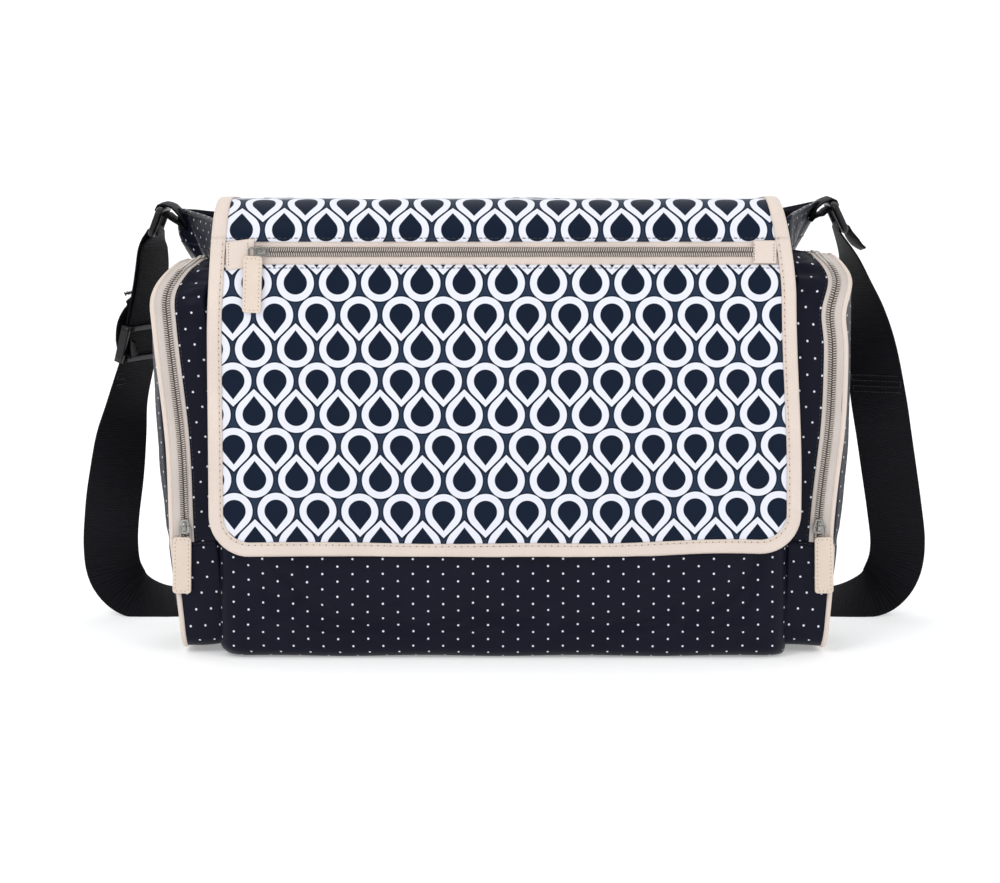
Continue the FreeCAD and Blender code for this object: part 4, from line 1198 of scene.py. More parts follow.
def puller(name: str, top: Grid, down: Grid, out: Grid, width: float, length: float, paint: Palette) -> Piece:
    """Leatherette pull tab: a folded strip with rounded corners and a stitched edge.

    Args:
        name: Name of the piece.
        top: Middle of its upper edge.
        down: Direction in which it hangs.
        out: Direction in which its face looks.
        width: Width of the tab.
        length: Length of the tab.
        paint: Finishes of the bag.

    Returns:
        The new object.
    """
    side = unit(np.cross(down, out))
    face = unit(np.cross(side, down))
    outline = rounded_outline(width, length, 2.4 * MM)
    parts = [plate("tab", outline, 2.4 * MM, 0.7 * MM, top, side, -down, paint.pull_leather)]
    inset = 2.0 * MM
    lane = rounded_outline(width - 2 * inset, length - 2 * inset, 1.2 * MM, top=-inset)
    lane = np.array(lane + lane[:1])
    for lift in (1.0, -1.0):
        path = top + lane[:, :1] * side - lane[:, 1:] * down + face * 1.22 * MM * lift
        out_rows = np.repeat(face[None, :] * lift, len(path), axis=0)
        # Needle holes round the tab, drawn as painted shade.
        parts.append(pins_along("stitches", path, out_rows, 3.1 * MM, 0.9 * MM, 0.26 * MM, paint.needle_hole_shade))
    return joined_with_modifiers(name, parts)


# ---- body

@dataclass
class Body:
    """Sewn body: one shell of satin that turns under at the base and flares at both strap loops."""
    paint: Palette
    turn: float = 12 * MM
    corner: float = 12 * MM
    apex_y: float = 53 * MM
    side_turn: Pair = (0.85, 0.2)
    flare: Pair = (42 * MM, 38 * MM)
    opens: tuple[Pair, Pair] = ((0.246, 0.308), (0.256, 0.332))
    hem: tuple[Pair, Pair] = ((6 * MM, 2 * MM), (9.5 * MM, 4.5 * MM))
    wall: float = 4.2 * MM
    spacing: float = 5 * MM

    def __post_init__(self) -> None:
        low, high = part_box("front_panel")
        self.half = high.x
        self.depth = -low.y
        self.rim_depth = -high.y + 1.5 * MM
        self.rim = high.z
        self.height = self.turn * (math.pi / 2 - 1) + self.rim
        self.columns = self.around()

    def around(self) -> Grid:
        """Rows of x, y and distance round the base, anticlockwise from the middle of the back."""
        half, depth, r = self.half, self.depth, self.corner
        path = [(0.0, depth)]
        for sx, sy, start in ((-1, 1, 90), (-1, -1, 180), (1, -1, 270), (1, 1, 0)):
            for angle in np.radians(np.linspace(start, start + 90, 6)):
                path.append((sx * (half - r) + r * math.cos(angle), sy * (depth - r) + r * math.sin(angle)))
        path.append((0.0, depth))
        rows = np.array(path)
        reach = travelled(rows)
        places = np.linspace(0, reach[-1], int(reach[-1] / self.spacing) + 1)
        repeat = 2 * PinDotSatin.column
        even = round(reach[-1] / repeat) * repeat / reach[-1]
        return np.column_stack([np.interp(places, reach, rows[:, 0]), np.interp(places, reach, rows[:, 1]),
                                places * even])

    def at(self, s: Grid, inset: float = 0.0) -> tuple[Grid, Grid]:
        """Places on the shell.

        Args:
            s: Distances up the wall from the edge of the base.
            inset: Depth inside the outer face.

        Returns:
            Places, shaped (rows, columns, 3), and cloth coordinates.
        """
        x0, y0, u = self.columns.T
        quarter = self.turn * math.pi / 2
        angle = np.clip(s / self.turn, 0, math.pi / 2)
        under = self.turn * (1 - np.sin(angle))
        z = np.where(s < quarter, self.turn * (1 - np.cos(angle)), s - quarter + self.turn)
        share = np.clip(z / self.rim, 0, 1)
        squeeze = (self.depth + (self.rim_depth - self.depth) * share) / self.depth
        x = np.repeat(x0[None, :], len(s), axis=0)
        y = y0[None, :] * squeeze[:, None]
        z = np.repeat(z[:, None], len(u), axis=1)
        side_share = np.clip((np.abs(x) - (self.half - self.corner)) / self.corner, 0, 1)
        face_share = 1 - side_share
        tucked = np.where(x < 0, self.side_turn[0], self.side_turn[1]) * under[:, None]
        x = x * (1 - (tucked + inset) / self.half)
        y = y * (1 - (under[:, None] + inset) / self.depth)
        back = self.rim_depth
        towards = np.where(y < self.apex_y, (y + back) / (self.apex_y + back),
                           (back - y) / (back - self.apex_y))
        towards = np.clip(towards, 0, 1)
        towards = towards - 0.10 * np.sin(towards * math.pi)
        out = np.where(x < 0, self.flare[0], self.flare[1])
        open_up = np.where(x < 0, smooth(z, *self.opens[0]), smooth(z, *self.opens[1]))
        pinch = 5 * MM * np.exp(-((z - 0.262 - 0.10 * (towards - 0.3)) / 0.012) ** 2)
        pinch = pinch * np.sin(towards * math.pi)
        x = x + np.sign(x) * side_share * (out * open_up * towards - pinch)
        belly = 2.2 * MM * face_share * np.sin(share[:, None] * math.pi) * np.cos(x / self.half * math.pi / 2)
        belly = belly + 2.6 * MM * face_share * np.exp(-((z - 0.014) / 0.022) ** 2)
        soft = 1.2 * MM * ripple(u[None, :], z, 0.13, 2.4) + 0.6 * MM * ripple(u[None, :], z * 0.5, 0.05, 5.0)
        hold = smooth(z, 0.0, 0.03)
        y = y + np.sign(y) * face_share * (belly + soft * hold)
        x = x + np.sign(x) * side_share * soft * hold * (1 - 0.5 * open_up)
        lift = np.where(x < 0, self.hem[0][0] + self.hem[0][1] * towards,
                        self.hem[1][0] + self.hem[1][1] * towards) * side_share
        sag = 1.2 * MM * np.sin(x * 37 + 0.5) * face_share
        z = z + (lift + sag * 0.6) * smooth(z, 0.25, self.rim)
        z = z + 0.8 * MM * (1 + np.sin(u[None, :] * 52)) * np.clip(1 - z / 0.03, 0, 1) * 0.5
        cloth = np.stack(np.meshgrid(u, s), axis=-1)
        return np.stack([x, y, z], axis=-1), cloth

    def build(self) -> None:
        """Shell, base, lining, board and loop patches."""
        paint = self.paint
        low = self.turn * 1.6
        rows = np.concatenate([np.linspace(0, low, 9),
                               np.arange(low + self.spacing, self.height, self.spacing), [self.height]])
        places, cloth = self.at(rows)
        shell = grid_mesh("body_shell", places[:, :-1], cloth, paint.satin, wrap=True, flip=True)
        shell.data.materials.append(paint.plain_satin)
        face_along(shell, places[:, :-1] * np.array([1.0, 1.0, 0.0]))
        relax(shell, pressure=4.0, cap=3 * MM, sink=1 * MM, hold=self.shell_hold(places[:, :-1]))
        thicken(shell, 1.6 * MM, inside=1)
        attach(shell, "bag")
        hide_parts("front_panel", "back_panel", "left_gusset", "right_gusset", "left_gusset_facing",
                    "right_gusset_facing", "front_padding", "back_padding")
        inner = np.concatenate([np.arange(9 * MM, self.height - 8 * MM, 2 * self.spacing),
                                [self.height - 7 * MM]])
        depth = np.where(inner > self.height - 12 * MM, 2.2 * MM, self.wall)
        grids = [self.at(np.array([s]), d) for s, d in zip(inner, depth)]
        places = np.vstack([g[0] for g in grids])
        cloth = np.vstack([g[1] for g in grids])
        lining = grid_mesh("body_lining", places[:, :-1], cloth, paint.lining, wrap=True)
        face_along(lining, places[:, :-1] * np.array([-1.0, -1.0, 0.0]))
        thicken(lining, 0.8 * MM)
        floor_z = places[0, :, 2].max() + 1.0 * MM
        across, ahead = np.array([1.0, 0.0, 0.0]), np.array([0.0, 1.0, 0.0])
        reach = self.depth - self.turn + 1 * MM
        under = rounded_outline(2 * (self.half - self.side_turn[0] * self.turn + 1 * MM), 2 * reach, 10 * MM,
                                top=reach)
        base = plate("base_cover", under, 1.0 * MM, 0.3 * MM, np.array([0.0, 0.0, 0.7 * MM]), across, ahead,
                     paint.plain_satin)
        inside = joined_with_modifiers("inner_lining", [lining, self.lining_floor(floor_z)])
        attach(inside, "bag")
        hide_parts("main_lining")
        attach(base, "bag")
        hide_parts("base_panel")
        low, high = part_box("base_board")
        outline = rounded_outline(high.x * 2 - 26 * MM, high.y * 2 - 34 * MM, 14 * MM)
        middle = np.array([0.0, high.y - 17 * MM, (low.z + high.z) / 2])
        board = plate("base_stiffener", outline, 2.4 * MM, 0.6 * MM, middle, across, ahead, paint.board)
        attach(board, "bag")
        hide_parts("base_board")
        self.build_patches()
        self.build_seams()

    def shell_hold(self, places: Grid) -> Grid:
        """How firmly each point of the shell is held: seams and hems fully, panels loosely."""
        x, y, z = places[..., 0], places[..., 1], places[..., 2]
        near = np.abs(np.abs(y) - self.depth) < 30 * MM
        corner = np.exp(-((np.abs(x) - self.half + 4 * MM) / (12 * MM)) ** 2) * near
        edge = np.maximum(1 - smooth(z, 0.004, 0.03), smooth(z, self.rim - 0.06, self.rim - 0.03))
        return np.clip(np.maximum(edge, corner * 0.9), 0, 1).reshape(-1)

    def lining_floor(self, z: float, margin: float = 8 * MM) -> Piece:
        """Lining across the base at a height, ending a margin inside the walls."""
        x = np.linspace(-self.half + margin, self.half - margin, 60)
        y = np.linspace(-self.depth + margin, self.depth - margin, 24)
        gx, gy = np.meshgrid(x, y)
        gz = z + 0.25 * MM * (1 + ripple(gx, gy, 0.09, 1.0))
        obj = grid_mesh("lining_floor", np.stack([gx, gy, gz], axis=-1), np.stack([gx, gy], axis=-1),
                        self.paint.lining)
        return thicken(obj, 0.8 * MM)

    def build_patches(self) -> None:
        """Loop patches that the flap's hook patches close on."""
        low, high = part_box("closure_loop_patches")
        parts = []
        for side in (-1, 1):
            rows = np.linspace(low.z, high.z, 6) + self.turn * (math.pi / 2 - 1)
            columns = np.abs(self.columns[:, 0] - side * (high.x - 27 * MM)) < 26 * MM
            columns = columns & (self.columns[:, 1] < 0)
            places, cloth = self.at(rows, -1.6 * MM)
            part = grid_mesh("loop", places[:, columns], cloth[:, columns], self.paint.hook)
            face_along(part, np.array([0.0, -1.0, 0.0]))
            parts.append(thicken(part, 1.0 * MM))
        patches = joined_with_modifiers("body_loop_patches", parts)
        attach(patches, "bag")
        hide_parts("closure_loop_patches")

    def build_seams(self) -> None:
        """Hem stitches across the top of each gusset and the seam of the facing below it."""
        lanes = []
        for depth in (3 * MM, 24 * MM):
            places, _ = self.at(np.array([self.height - depth]), -0.25 * MM)
            farther, _ = self.at(np.array([self.height - depth]), -2 * MM)
            path, out = places[0], unit(farther[0] - places[0])
            side = np.abs(path[:, 0]) > self.half - 14 * MM
            for left in (True, False):
                keep = side & ((path[:, 0] < 0) == left)
                index = np.flatnonzero(keep)
                gap = np.flatnonzero(np.diff(index) > 1)
                index = np.roll(index, -(gap[0] + 1)) if len(gap) else index
                lanes.append(pins_along("hem", path[index], out[index], 3.6 * MM, 2.6 * MM, 0.3 * MM,
                                        self.paint.dark_thread))
        stitches = joined("gusset_hem_stitches", lanes)
        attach(stitches, "bag")


def relax(obj: Piece, pressure: float, cap: float, sink: float, hold: Grid, frames: int = 14) -> Piece:
    """Lets a sewn piece settle as cloth under a slight filling, and keeps the result.

    Args:
        obj: The piece, with no modifiers.
        pressure: Filling pressure.
        cap: The farthest that a point may move.
        sink: The farthest that it may move inwards.
        hold: For each vertex from 0, free, to 1, held.
        frames: Steps of the simulation.

    Returns:
        The same object.
    """
    mesh = obj.data
    count = len(mesh.vertices)
    rest = np.empty(count * 3, np.float32)
    mesh.vertices.foreach_get("co", rest)
    group = obj.vertex_groups.new(name="held")
    for i, weight in enumerate(hold):
        if weight > 0.01:
            group.add([i], float(weight), "REPLACE")
    cloth = obj.modifiers.new("settle", "CLOTH")
    settings = cloth.settings
    for key, value in (("quality", 4), ("mass", 0.25), ("tension_stiffness", 12),
                       ("compression_stiffness", 6), ("shear_stiffness", 3), ("bending_stiffness", 0.8),
                       ("vertex_group_mass", "held"), ("use_pressure", True),
                       ("uniform_pressure_force", pressure), ("shrink_min", -0.012)):
        setattr(settings, key, value)
    settings.effector_weights.gravity = 0.25
    cloth.collision_settings.use_collision = False
    cloth.collision_settings.use_self_collision = False
    cloth.point_cache.frame_start = 1
    cloth.point_cache.frame_end = frames
    scene = bpy.context.scene
    for frame_number in range(1, frames + 1):
        scene.frame_set(frame_number)
    depsgraph = bpy.context.evaluated_depsgraph_get()
    settled = np.empty(count * 3, np.float32)
    obj.evaluated_get(depsgraph).data.vertices.foreach_get("co", settled)
    obj.modifiers.remove(cloth)
    scene.frame_set(1)
    move = (settled - rest).reshape(-1, 3)
    normals = np.empty(count * 3, np.float32)
    mesh.vertices.foreach_get("normal", normals)
    normals = normals.reshape(-1, 3)
    along = np.sum(move * normals, axis=1, keepdims=True)
    move = move + normals * (np.maximum(along, -sink) - along)
    far = np.linalg.norm(move, axis=1, keepdims=True)
    move = move * np.minimum(1, cap / np.maximum(far, 1e-9))
    mesh.vertices.foreach_set("co", (rest.reshape(-1, 3) + move).astype(np.float32).ravel())
    mesh.update()
    LOG.info("%s settled, at most %.1f mm", obj.name, 1000 * float(np.minimum(far, cap).max()))
    return obj


# ---- side pockets

@dataclass
class PocketShape:
    """Arched side pocket: a path round its outline and the band that stands on it, leaning outwards."""
    side: int
    rise: float
    top_radius: float = 36 * MM
    bottom_radius: float = 14 * MM
    tuck: float = 21 * MM
    tuck_from: float = 34 * MM
    dent: float = 0.0
    crown: float = 2 * MM
    swell: float = 11.5 * MM
    draw_in: float = 0.0
    sink: float = 4.5 * MM

    def __post_init__(self) -> None:
        name = "left" if self.side < 0 else "right"
        cup_low, cup_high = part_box(name + "_pocket_cup")
        panel_low, panel_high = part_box(name + "_pocket_panel")
        axis = joint(name + "_zip_slide")["axis"]
        self.lean = math.atan2(abs(axis[0]), axis[2])
        self.bottom = cup_low.z
        self.fold = joint(name + "_pocket_open")["pos_m"][2]
        reach = max(abs(cup_low.x), abs(cup_high.x))
        self.outer = -(reach - (cup_high.z - cup_low.z) * math.tan(self.lean))
        self.front, self.back = panel_low.y, panel_high.y
        self.top = self.bottom + (panel_high.z - self.bottom) / math.cos(self.lean)
        rows, out = [], []

        def stretch(start: Pair, stop: Pair, normal: Pair) -> None:
            """Straight stretch of the outline, with one normal."""
            for t in np.linspace(0, 1, 40, endpoint=False):
                rows.append(np.array(start) * (1 - t) + np.array(stop) * t)
                out.append(np.array(normal))

        def bend(centre: Pair, radius: float, start: float) -> None:
            """Quarter turn of the outline, clockwise from an angle in degrees."""
            for angle in np.radians(np.linspace(start, start - 90, 16, endpoint=False)):
                direction = np.array([math.cos(angle), math.sin(angle)])
                rows.append(np.array(centre) + direction * radius)
                out.append(direction)

        f, b, lo, hi = self.front, self.back, self.bottom, self.top
        tr, br = self.top_radius, self.bottom_radius
        stretch((f, self.fold), (f, hi - tr), (-1, 0))
        bend((f + tr, hi - tr), tr, 180)
        stretch((f + tr, hi), (b - tr, hi), (0, 1))
        bend((b - tr, hi - tr), tr, 90)
        stretch((b, hi - tr), (b, self.fold), (1, 0))
        self.arch_rows = len(rows)
        stretch((b, self.fold), (b, lo + br), (1, 0))
        bend((b - br, lo + br), br, 0)
        stretch((b - br, lo), (f + br, lo), (0, -1))
        bend((f + br, lo + br), br, 270)
        stretch((f, lo + br), (f, self.fold), (-1, 0))
        rows.append(rows[0])
        out.append(out[0])
        self.rows, self.out = np.array(rows), np.array(out)
        self.reach = travelled(self.rows)
        self.arch = float(self.reach[self.arch_rows])
        self.loop = float(self.reach[-1])

    def place(self, x: Grid, y: Grid, z: Grid) -> Grid:
        """Leans and tucks a place drawn upright, and puts it on its side of the bag."""
        x, y, z = np.broadcast_arrays(*(np.asarray(v, float) for v in (x, y, z)))
        high = z + self.rise * smooth(z, self.top - 0.11, self.top) - self.sink * (
            1 - smooth(z, self.bottom, self.bottom + 0.05))
        inward = x + self.tuck * smooth(z, self.top - self.tuck_from, self.top + 0.004) ** 1.3 * (
            0.55 + 0.45 * smooth(y, self.front, self.front + 0.05))
        near = 1 - smooth(y, self.front, self.front + 0.03)
        dent, crown = (np.exp(-((z - place) / (14 * MM)) ** 2) for place in (0.252, 0.277))
        inward = inward + self.draw_in * smooth(z, 0.16, 0.24)
        inward = inward + near * (self.dent * dent - self.crown * crown)
        cosine, sine = math.cos(self.lean), math.sin(self.lean)
        dx, dz = inward - self.outer, high - self.bottom
        turned_x = self.outer + dx * cosine - dz * sine
        turned_z = self.bottom + dx * sine + dz * cosine
        return np.stack([-self.side * turned_x, y, turned_z], axis=-1)

    def band(self, t: Grid, w: Grid, inset: Grid | float = 0.0) -> Grid:
        """Places on the band.

        Args:
            t: Distances along the outline, from the front end of the zip over the arch and round the cup.
            w: Distances in from the pocket's outer face.
            inset: Depth inside the outline.

        Returns:
            Places, in a last dimension of 3.
        """
        t, w, inset = np.broadcast_arrays(*(np.asarray(v, float) for v in (t, w, inset)))
        t = np.mod(t, self.loop + 1e-9)
        y, z = (np.interp(t, self.reach, self.rows[:, i]) for i in (0, 1))
        ny, nz = (np.interp(t, self.reach, self.out[:, i]) for i in (0, 1))
        bow = 0.4 * MM * np.sin(np.clip(w / (24 * MM), 0, 1) * math.pi)
        uneven = 0.7 * MM * ripple(t, w * 2, 0.12, 1.0 + self.side)
        wander = 1.4 * MM * np.sin(t * 34 + self.side)
        over = smooth(z, self.top - 0.05, self.top - 0.01)
        gathers = 1.5 * MM * np.sin(t * 420 + 30 * w) * smooth(w, 0.019, 0.03) * over
        gathers = gathers + 0.5 * MM * np.sin(t * 300) * smooth(w, 0.0, 0.01) * over
        depth = inset - bow - uneven + gathers
        return self.place(self.outer + w + wander, y - ny * depth, z - nz * depth)


@dataclass
class SidePocket:
    """Zipped side pocket: cup, gusset wall, opening panel, zip, piping, slider and puller."""
    side: int
    paint: Palette
    shape: PocketShape
    chain: float = 9.5 * MM
    tape_end: float = 15.8 * MM

    def __post_init__(self) -> None:
        self.name = "left" if self.side < 0 else "right"
        self.panel = self.name + "_pocket_panel"
        pin = Vector(joint(self.name + "_pocket_open")["pos_m"])
        self.fold = (tuple(pin - Vector((0, 0, 7 * MM))), tuple(pin + Vector((0, 0, 9 * MM))))

    def label(self, piece: str) -> str:
        """Name of one of this pocket's pieces."""
        return f"{self.name}_{piece}"

    def strip(self, name: str, t: Grid, w: Grid, inset: float, material: Material, thickness: float) -> Piece:
        """Sheet on the band."""
        gt, gw = np.meshgrid(t, w)
        places = self.shape.band(gt, gw, inset)
        obj = grid_mesh(self.label(name), places, np.stack([gt, gw], axis=-1), material)
        face_along(obj, self.shape.band(gt, gw, inset - 1 * MM) - places)
        return thicken(obj, thickness)

    def face(self) -> Piece:
        """Outer face of the pocket from its foot to the top of the arch, filled a little."""
        shape = self.shape
        low = shape.bottom + shape.bottom_radius
        high = shape.top - shape.top_radius
        crown = 1 - np.sin(np.linspace(0, 0.985, 14) * math.pi / 2)
        z = np.concatenate([np.linspace(shape.bottom + 0.4 * MM, low, 5)[:-1], np.linspace(low, high, 46)[:-1],
                            shape.top - shape.top_radius * crown])
        pull = np.where(z < low, shape.bottom_radius - np.sqrt(np.maximum(
            shape.bottom_radius ** 2 - (low - z) ** 2, 0)), 0.0)
        pull = pull + np.where(z > high, shape.top_radius - np.sqrt(np.maximum(
            shape.top_radius ** 2 - (z - high) ** 2, 0)), 0.0)
        share = np.linspace(0, 1, 24)
        y = (shape.front + pull)[:, None] + (shape.back - shape.front - 2 * pull)[:, None] * share[None, :]
        gz = np.repeat(z[:, None], len(share), axis=1)
        puff = np.sin(share * math.pi)[None, :] ** 0.6 * np.sin(
            np.clip((gz - shape.bottom) / (shape.top - shape.bottom), 0, 1) * math.pi) ** 0.5
        crease = 1.6 * MM * np.exp(-((gz - shape.fold) / (5 * MM)) ** 2)
        soft = 0.8 * MM * ripple(y, gz, 0.08, 3.0 + self.side) * puff
        x = shape.outer - shape.swell * puff + crease * puff - soft
        places = shape.place(x, y, gz)
        obj = grid_mesh(self.label("pocket_face"), places, np.stack([y, gz], axis=-1), self.paint.satin)
        face_along(obj, np.array([float(self.side), 0.0, 0.0]))
        obj.data.materials.append(self.paint.lining)
        return thicken(obj, 1.6 * MM, inside=1)

    def build(self) -> None:
        """Makes and fastens every piece of the pocket."""
        shape, paint, half = self.shape, self.paint, 2.9 * MM
        face = self.face()
        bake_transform(face, "bag", self.panel, *self.fold)
        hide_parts(self.panel)
        arch = np.linspace(0, shape.arch, 150)
        cup = np.linspace(shape.arch, shape.loop, 60)
        inner_edge = abs(shape.outer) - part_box("front_panel")[1].x + 2 * MM
        wall = self.strip("pocket_wall", arch, np.linspace(self.tape_end - 1 * MM, inner_edge + 9 * MM, 9),
                          0.3 * MM, paint.satin, 1.4 * MM)
        foot = self.strip("pocket_foot", cup, np.linspace(0, inner_edge + 3 * MM, 12), 0.3 * MM, paint.satin,
                          1.4 * MM)
        for obj, node in ((wall, "pocket_gusset"), (foot, "pocket_cup")):
            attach(obj, "bag")
            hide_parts(self.label(node))
        for kind, body, low, high in (("outer", self.panel, 0.6 * MM, self.chain - half + 0.9 * MM),
                                      ("inner", "bag", self.chain + half - 0.9 * MM, self.tape_end)):
            tape = self.strip(f"zip_{kind}_strip", arch, np.linspace(low, high, 6), -0.1 * MM,
                              paint.side_tape, 0.8 * MM)
            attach(tape, body)
            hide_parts(self.label(f"zip_{kind}_tape"))
        for row, body, node in ((-1, self.panel, "zip_outer_coil"), (1, "bag", "zip_inner_coil")):
            teeth = coil_teeth("teeth", lambda t, w: shape.band(t, self.chain + w, -0.6 * MM), shape.arch,
                               paint.coil, pitch=1.65 * MM, half=3.4 * MM, rows=(row,))
            # Dark taupe strip under the teeth: the coil's core and the painted shade between the teeth.
            width = np.sort(self.chain + row * np.array([0.1 * MM, half]))
            cord = self.strip("cord", arch, np.linspace(width[0], width[1], 3), -0.35 * MM, paint.coil_cord,
                              0.3 * MM)
            teeth = joined_with_modifiers(self.label(node + "_teeth"), [teeth, cord])
            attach(teeth, body)
            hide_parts(self.label(node))
        self.build_piping()
        self.build_stitches()
        self.build_slider()

    def build_piping(self) -> None:
        """Piping round the outer edge, bending with the panel at its foot."""
        shape = self.shape
        t = np.linspace(0, shape.loop, 220, endpoint=False)
        w = np.full_like(t, -0.6 * MM)
        path = shape.band(t, w, 1.2 * MM)
        along = unit(np.roll(path, -1, axis=0) - np.roll(path, 1, axis=0))
        wide = unit(shape.band(t, w + 1 * MM, 1.2 * MM) - path)
        high = np.cross(along, wide)
        pipe = sweep(self.label("pocket_piping"), path, wide, high, round_profile(2.1 * MM, 10),
                     self.paint.leatherette, loop=True)
        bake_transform(pipe, "bag", self.panel, *self.fold)
        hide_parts(self.label("panel_piping"), self.label("cup_piping"))

    def build_stitches(self) -> None:
        """Topstitching beside the inner tape and across the foot of the zip."""
        shape, thread = self.shape, self.paint.dark_thread

        def lane(t: Grid, w: Grid) -> Piece:
            """Stitches through places on the band."""
            path = shape.band(t, w, -0.1 * MM)
            out = unit(shape.band(t, w, -2 * MM) - path)
            return pins_along("stitches", path, out, 3.4 * MM, 2.5 * MM, 0.28 * MM, thread)

        t = np.linspace(0, shape.arch, 160)
        beside = lane(t, np.full_like(t, self.tape_end + 1.6 * MM))
        w = np.linspace(1 * MM, self.tape_end + 8 * MM, 12)
        across = lane(np.full_like(w, shape.loop - 1.5 * MM), w)
        stitches = joined(self.label("pocket_stitches"), [beside, across])
        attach(stitches, "bag")

    def build_slider(self) -> None:
        """Slider at the foot of the zip and the pull tab that hangs from it."""
        shape, paint = self.shape, self.paint
        low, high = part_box(self.label("pocket_slider"))
        height = (low.z + high.z) / 2 - shape.fold
        face = -1.1 * MM
        centre = shape.band(height, self.chain, face)
        above = unit(shape.band(height + 5 * MM, self.chain, face) - centre)
        across = unit(shape.band(height, self.chain + 2 * MM, face) - centre)
        out = unit(np.cross(above, across))
        if out[1] > 0:
            across, out = -across, -out
        slider = zip_slider(self.label("pocket_runner"), centre, -above, -across, out, paint.nickel)
        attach(slider, self.name + "_slider")
        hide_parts(self.label("pocket_slider"))
        low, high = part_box(self.label("pocket_puller_tab"))
        top = np.array([(low.x + high.x) / 2 + self.side * 2.6 * MM, low.y + 1.1 * MM, high.z])
        tab = puller(self.label("pocket_pull"), top, unit(np.array([self.side * 0.02, -0.01, -1.0])),
                     np.array([0.0, -1.0, 0.0]), high.x - low.x + 2 * MM, high.z - low.z + 1 * MM, paint)
        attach(tab, self.name + "_puller")
        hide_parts(self.label("pocket_puller_tab"))


# ---- strap

@dataclass
class Strap:
    """Shoulder strap: webbing, adjuster, rings and the loops that hold them to the bag.

    Stations are places of the webbing's middle and directions of its width, in millimetres.
    """
    paint: Palette
    width: float = 44 * MM
    thickness: float = 1.5 * MM
    wire: float = 3.0 * MM
    slot: float = 47 * MM
    left_bars: tuple = ((-265.0, 329.5), (-272.0, 311.0))
    right_bars: tuple = ((255.5, 333.5), (264.5, 314.5))
    left: tuple = (
        (-272.5, 53, 301, 0.30, 0.95, 0), (-273.5, 54, 286, 0.38, 0.92, 0), (-275.5, 56, 270, 0.42, 0.91, 0),
        (-278.5, 58, 252, 0.46, 0.89, 0), (-285, 62, 224.5, 0.5, 0.87, 0), (-292, 66, 200, 0.56, 0.83, 0),
        (-300, 71, 172, 0.66, 0.75, 0), (-305, 75, 148, 0.84, 0.54, 0), (-310, 80, 116, 0.96, 0.28, 0),
        (-315, 84, 84, 1, 0, 0), (-317, 86, 56, 0.98, 0.05, 0.1), (-314, 86, 34, 0.86, 0.3, 0.42),
        (-302, 86, 18, 0.62, 0.6, 0.5), (-284, 88, 10.5, 0.33, 0.84, 0.42), (-260, 92, 7.5, 0.12, 0.95, 0.3),
        (-235, 97, 5, 0.02, 0.98, 0.2), (-200, 102, 2.6, 0, 1, 0.08))
    back: tuple = ((-150, 106, 1.2, 0, 1, 0), (-60, 108, 1.0, 0, 1, 0), (60, 108, 1.0, 0, 1, 0),
                   (150, 106, 1.2, 0, 1, 0))
    right: tuple = (
        (200, 102, 2.6, 0, 1, 0.08), (235, 97, 5, -0.02, 0.98, 0.2), (260, 92, 7.5, -0.12, 0.95, 0.3),
        (284, 88, 11, -0.33, 0.84, 0.42), (304, 86, 19, -0.62, 0.6, 0.5), (316, 87, 36, -0.88, 0.25, 0.38),
        (319, 86, 58, -0.98, 0.05, 0.08), (315, 82, 88, -1, 0, 0), (309, 77, 122, -1, 0, 0),
        (303, 73, 156, -1, 0, 0), (297, 69, 188, -0.95, 0.3, 0), (290, 63, 228, -0.78, 0.62, 0),
        (284, 59, 252, -0.62, 0.78, 0), (277, 56, 272, -0.45, 0.89, 0), (271, 54, 292, -0.22, 0.97, 0))

    def __post_init__(self) -> None:
        low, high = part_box("left_strap_ring")
        self.y = (low.y + high.y) / 2

    def turn(self, bar: Pair, start: float, stop: float, extra: float = 1.2) -> list[tuple]:
        """Stations round a bar of a ring.

        Args:
            bar: Middle of the bar, x and z, in millimetres.
            start: Angle of the first station in degrees, from +X towards +Z.
            stop: Angle of the last station.
            extra: Room between the bar and the webbing's middle, in millimetres.

        Returns:
            The stations.
        """
        radius = self.wire / MM + extra
        turns = np.radians(np.linspace(start, stop, 9))
        return [(bar[0] + radius * math.cos(a), self.y / MM, bar[1] + radius * math.sin(a), 0, 1, 0)
                for a in turns]

    def length(self, stations: Sequence[Sequence[float]]) -> float:
        """Length of webbing through its stations."""
        return float(travelled(np.array([s[:3] for s in stations], float) * MM)[-1])

    def ribbon(self, name: str, stations: Sequence[Sequence[float]], width: float | None = None,
               drift: float = 0.35 * MM) -> Piece:
        """Webbing through its stations."""
        line, reach = route([[v * MM for v in s[:3]] + list(s[3:]) for s in stations], 5 * MM)
        places = np.linspace(0, reach[-1], max(16, int(reach[-1] / (3.5 * MM))))
        rows = resample(line, reach, places)
        path = rows[:, :3]
        along = unit(np.gradient(path, axis=0))
        wide = unit(rows[:, 3:] - along * np.sum(rows[:, 3:] * along, axis=1, keepdims=True))
        high = np.cross(along, wide)
        path = path + high * (drift * ripple(places, places * 0.4, 0.11, 2.0))[:, None]
        profile = soft_bar(width or self.width, self.thickness, 0.6 * MM, 3)
        return sweep(name, path, wide, high, profile, self.paint.webbing)

    def build(self) -> None:
        """Makes and fastens every piece of the strap."""
        self.build_webbing()
        self.build_adjuster()
        self.build_glide()
        for side, bars in ((-1, self.left_bars), (1, self.right_bars)):
            self.build_ring(side, bars)
            self.build_loop(side, bars)

    def build_webbing(self) -> None:
        """Long run of webbing, from one ring to the other and back on itself at its sewn end."""
        start = self.turn(self.left_bars[1], 90, -20)[:-1]
        stub = [(272.8, 53.5, 307, -0.1, 0.99, 0), (277.5, 53, 301, -0.12, 0.98, 0),
                (282, 52.5, 298, -0.12, 0.98, 0)]
        end = self.turn(self.right_bars[1], 215, 10)
        stations = [*start, *self.left, *self.back, *self.right, *end, *stub]
        webbing = self.ribbon("strap_webbing", stations)
        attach(webbing, "strap")
        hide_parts("strap_left_run", "strap_back_run", "strap_right_run")
        self.build_stitches()

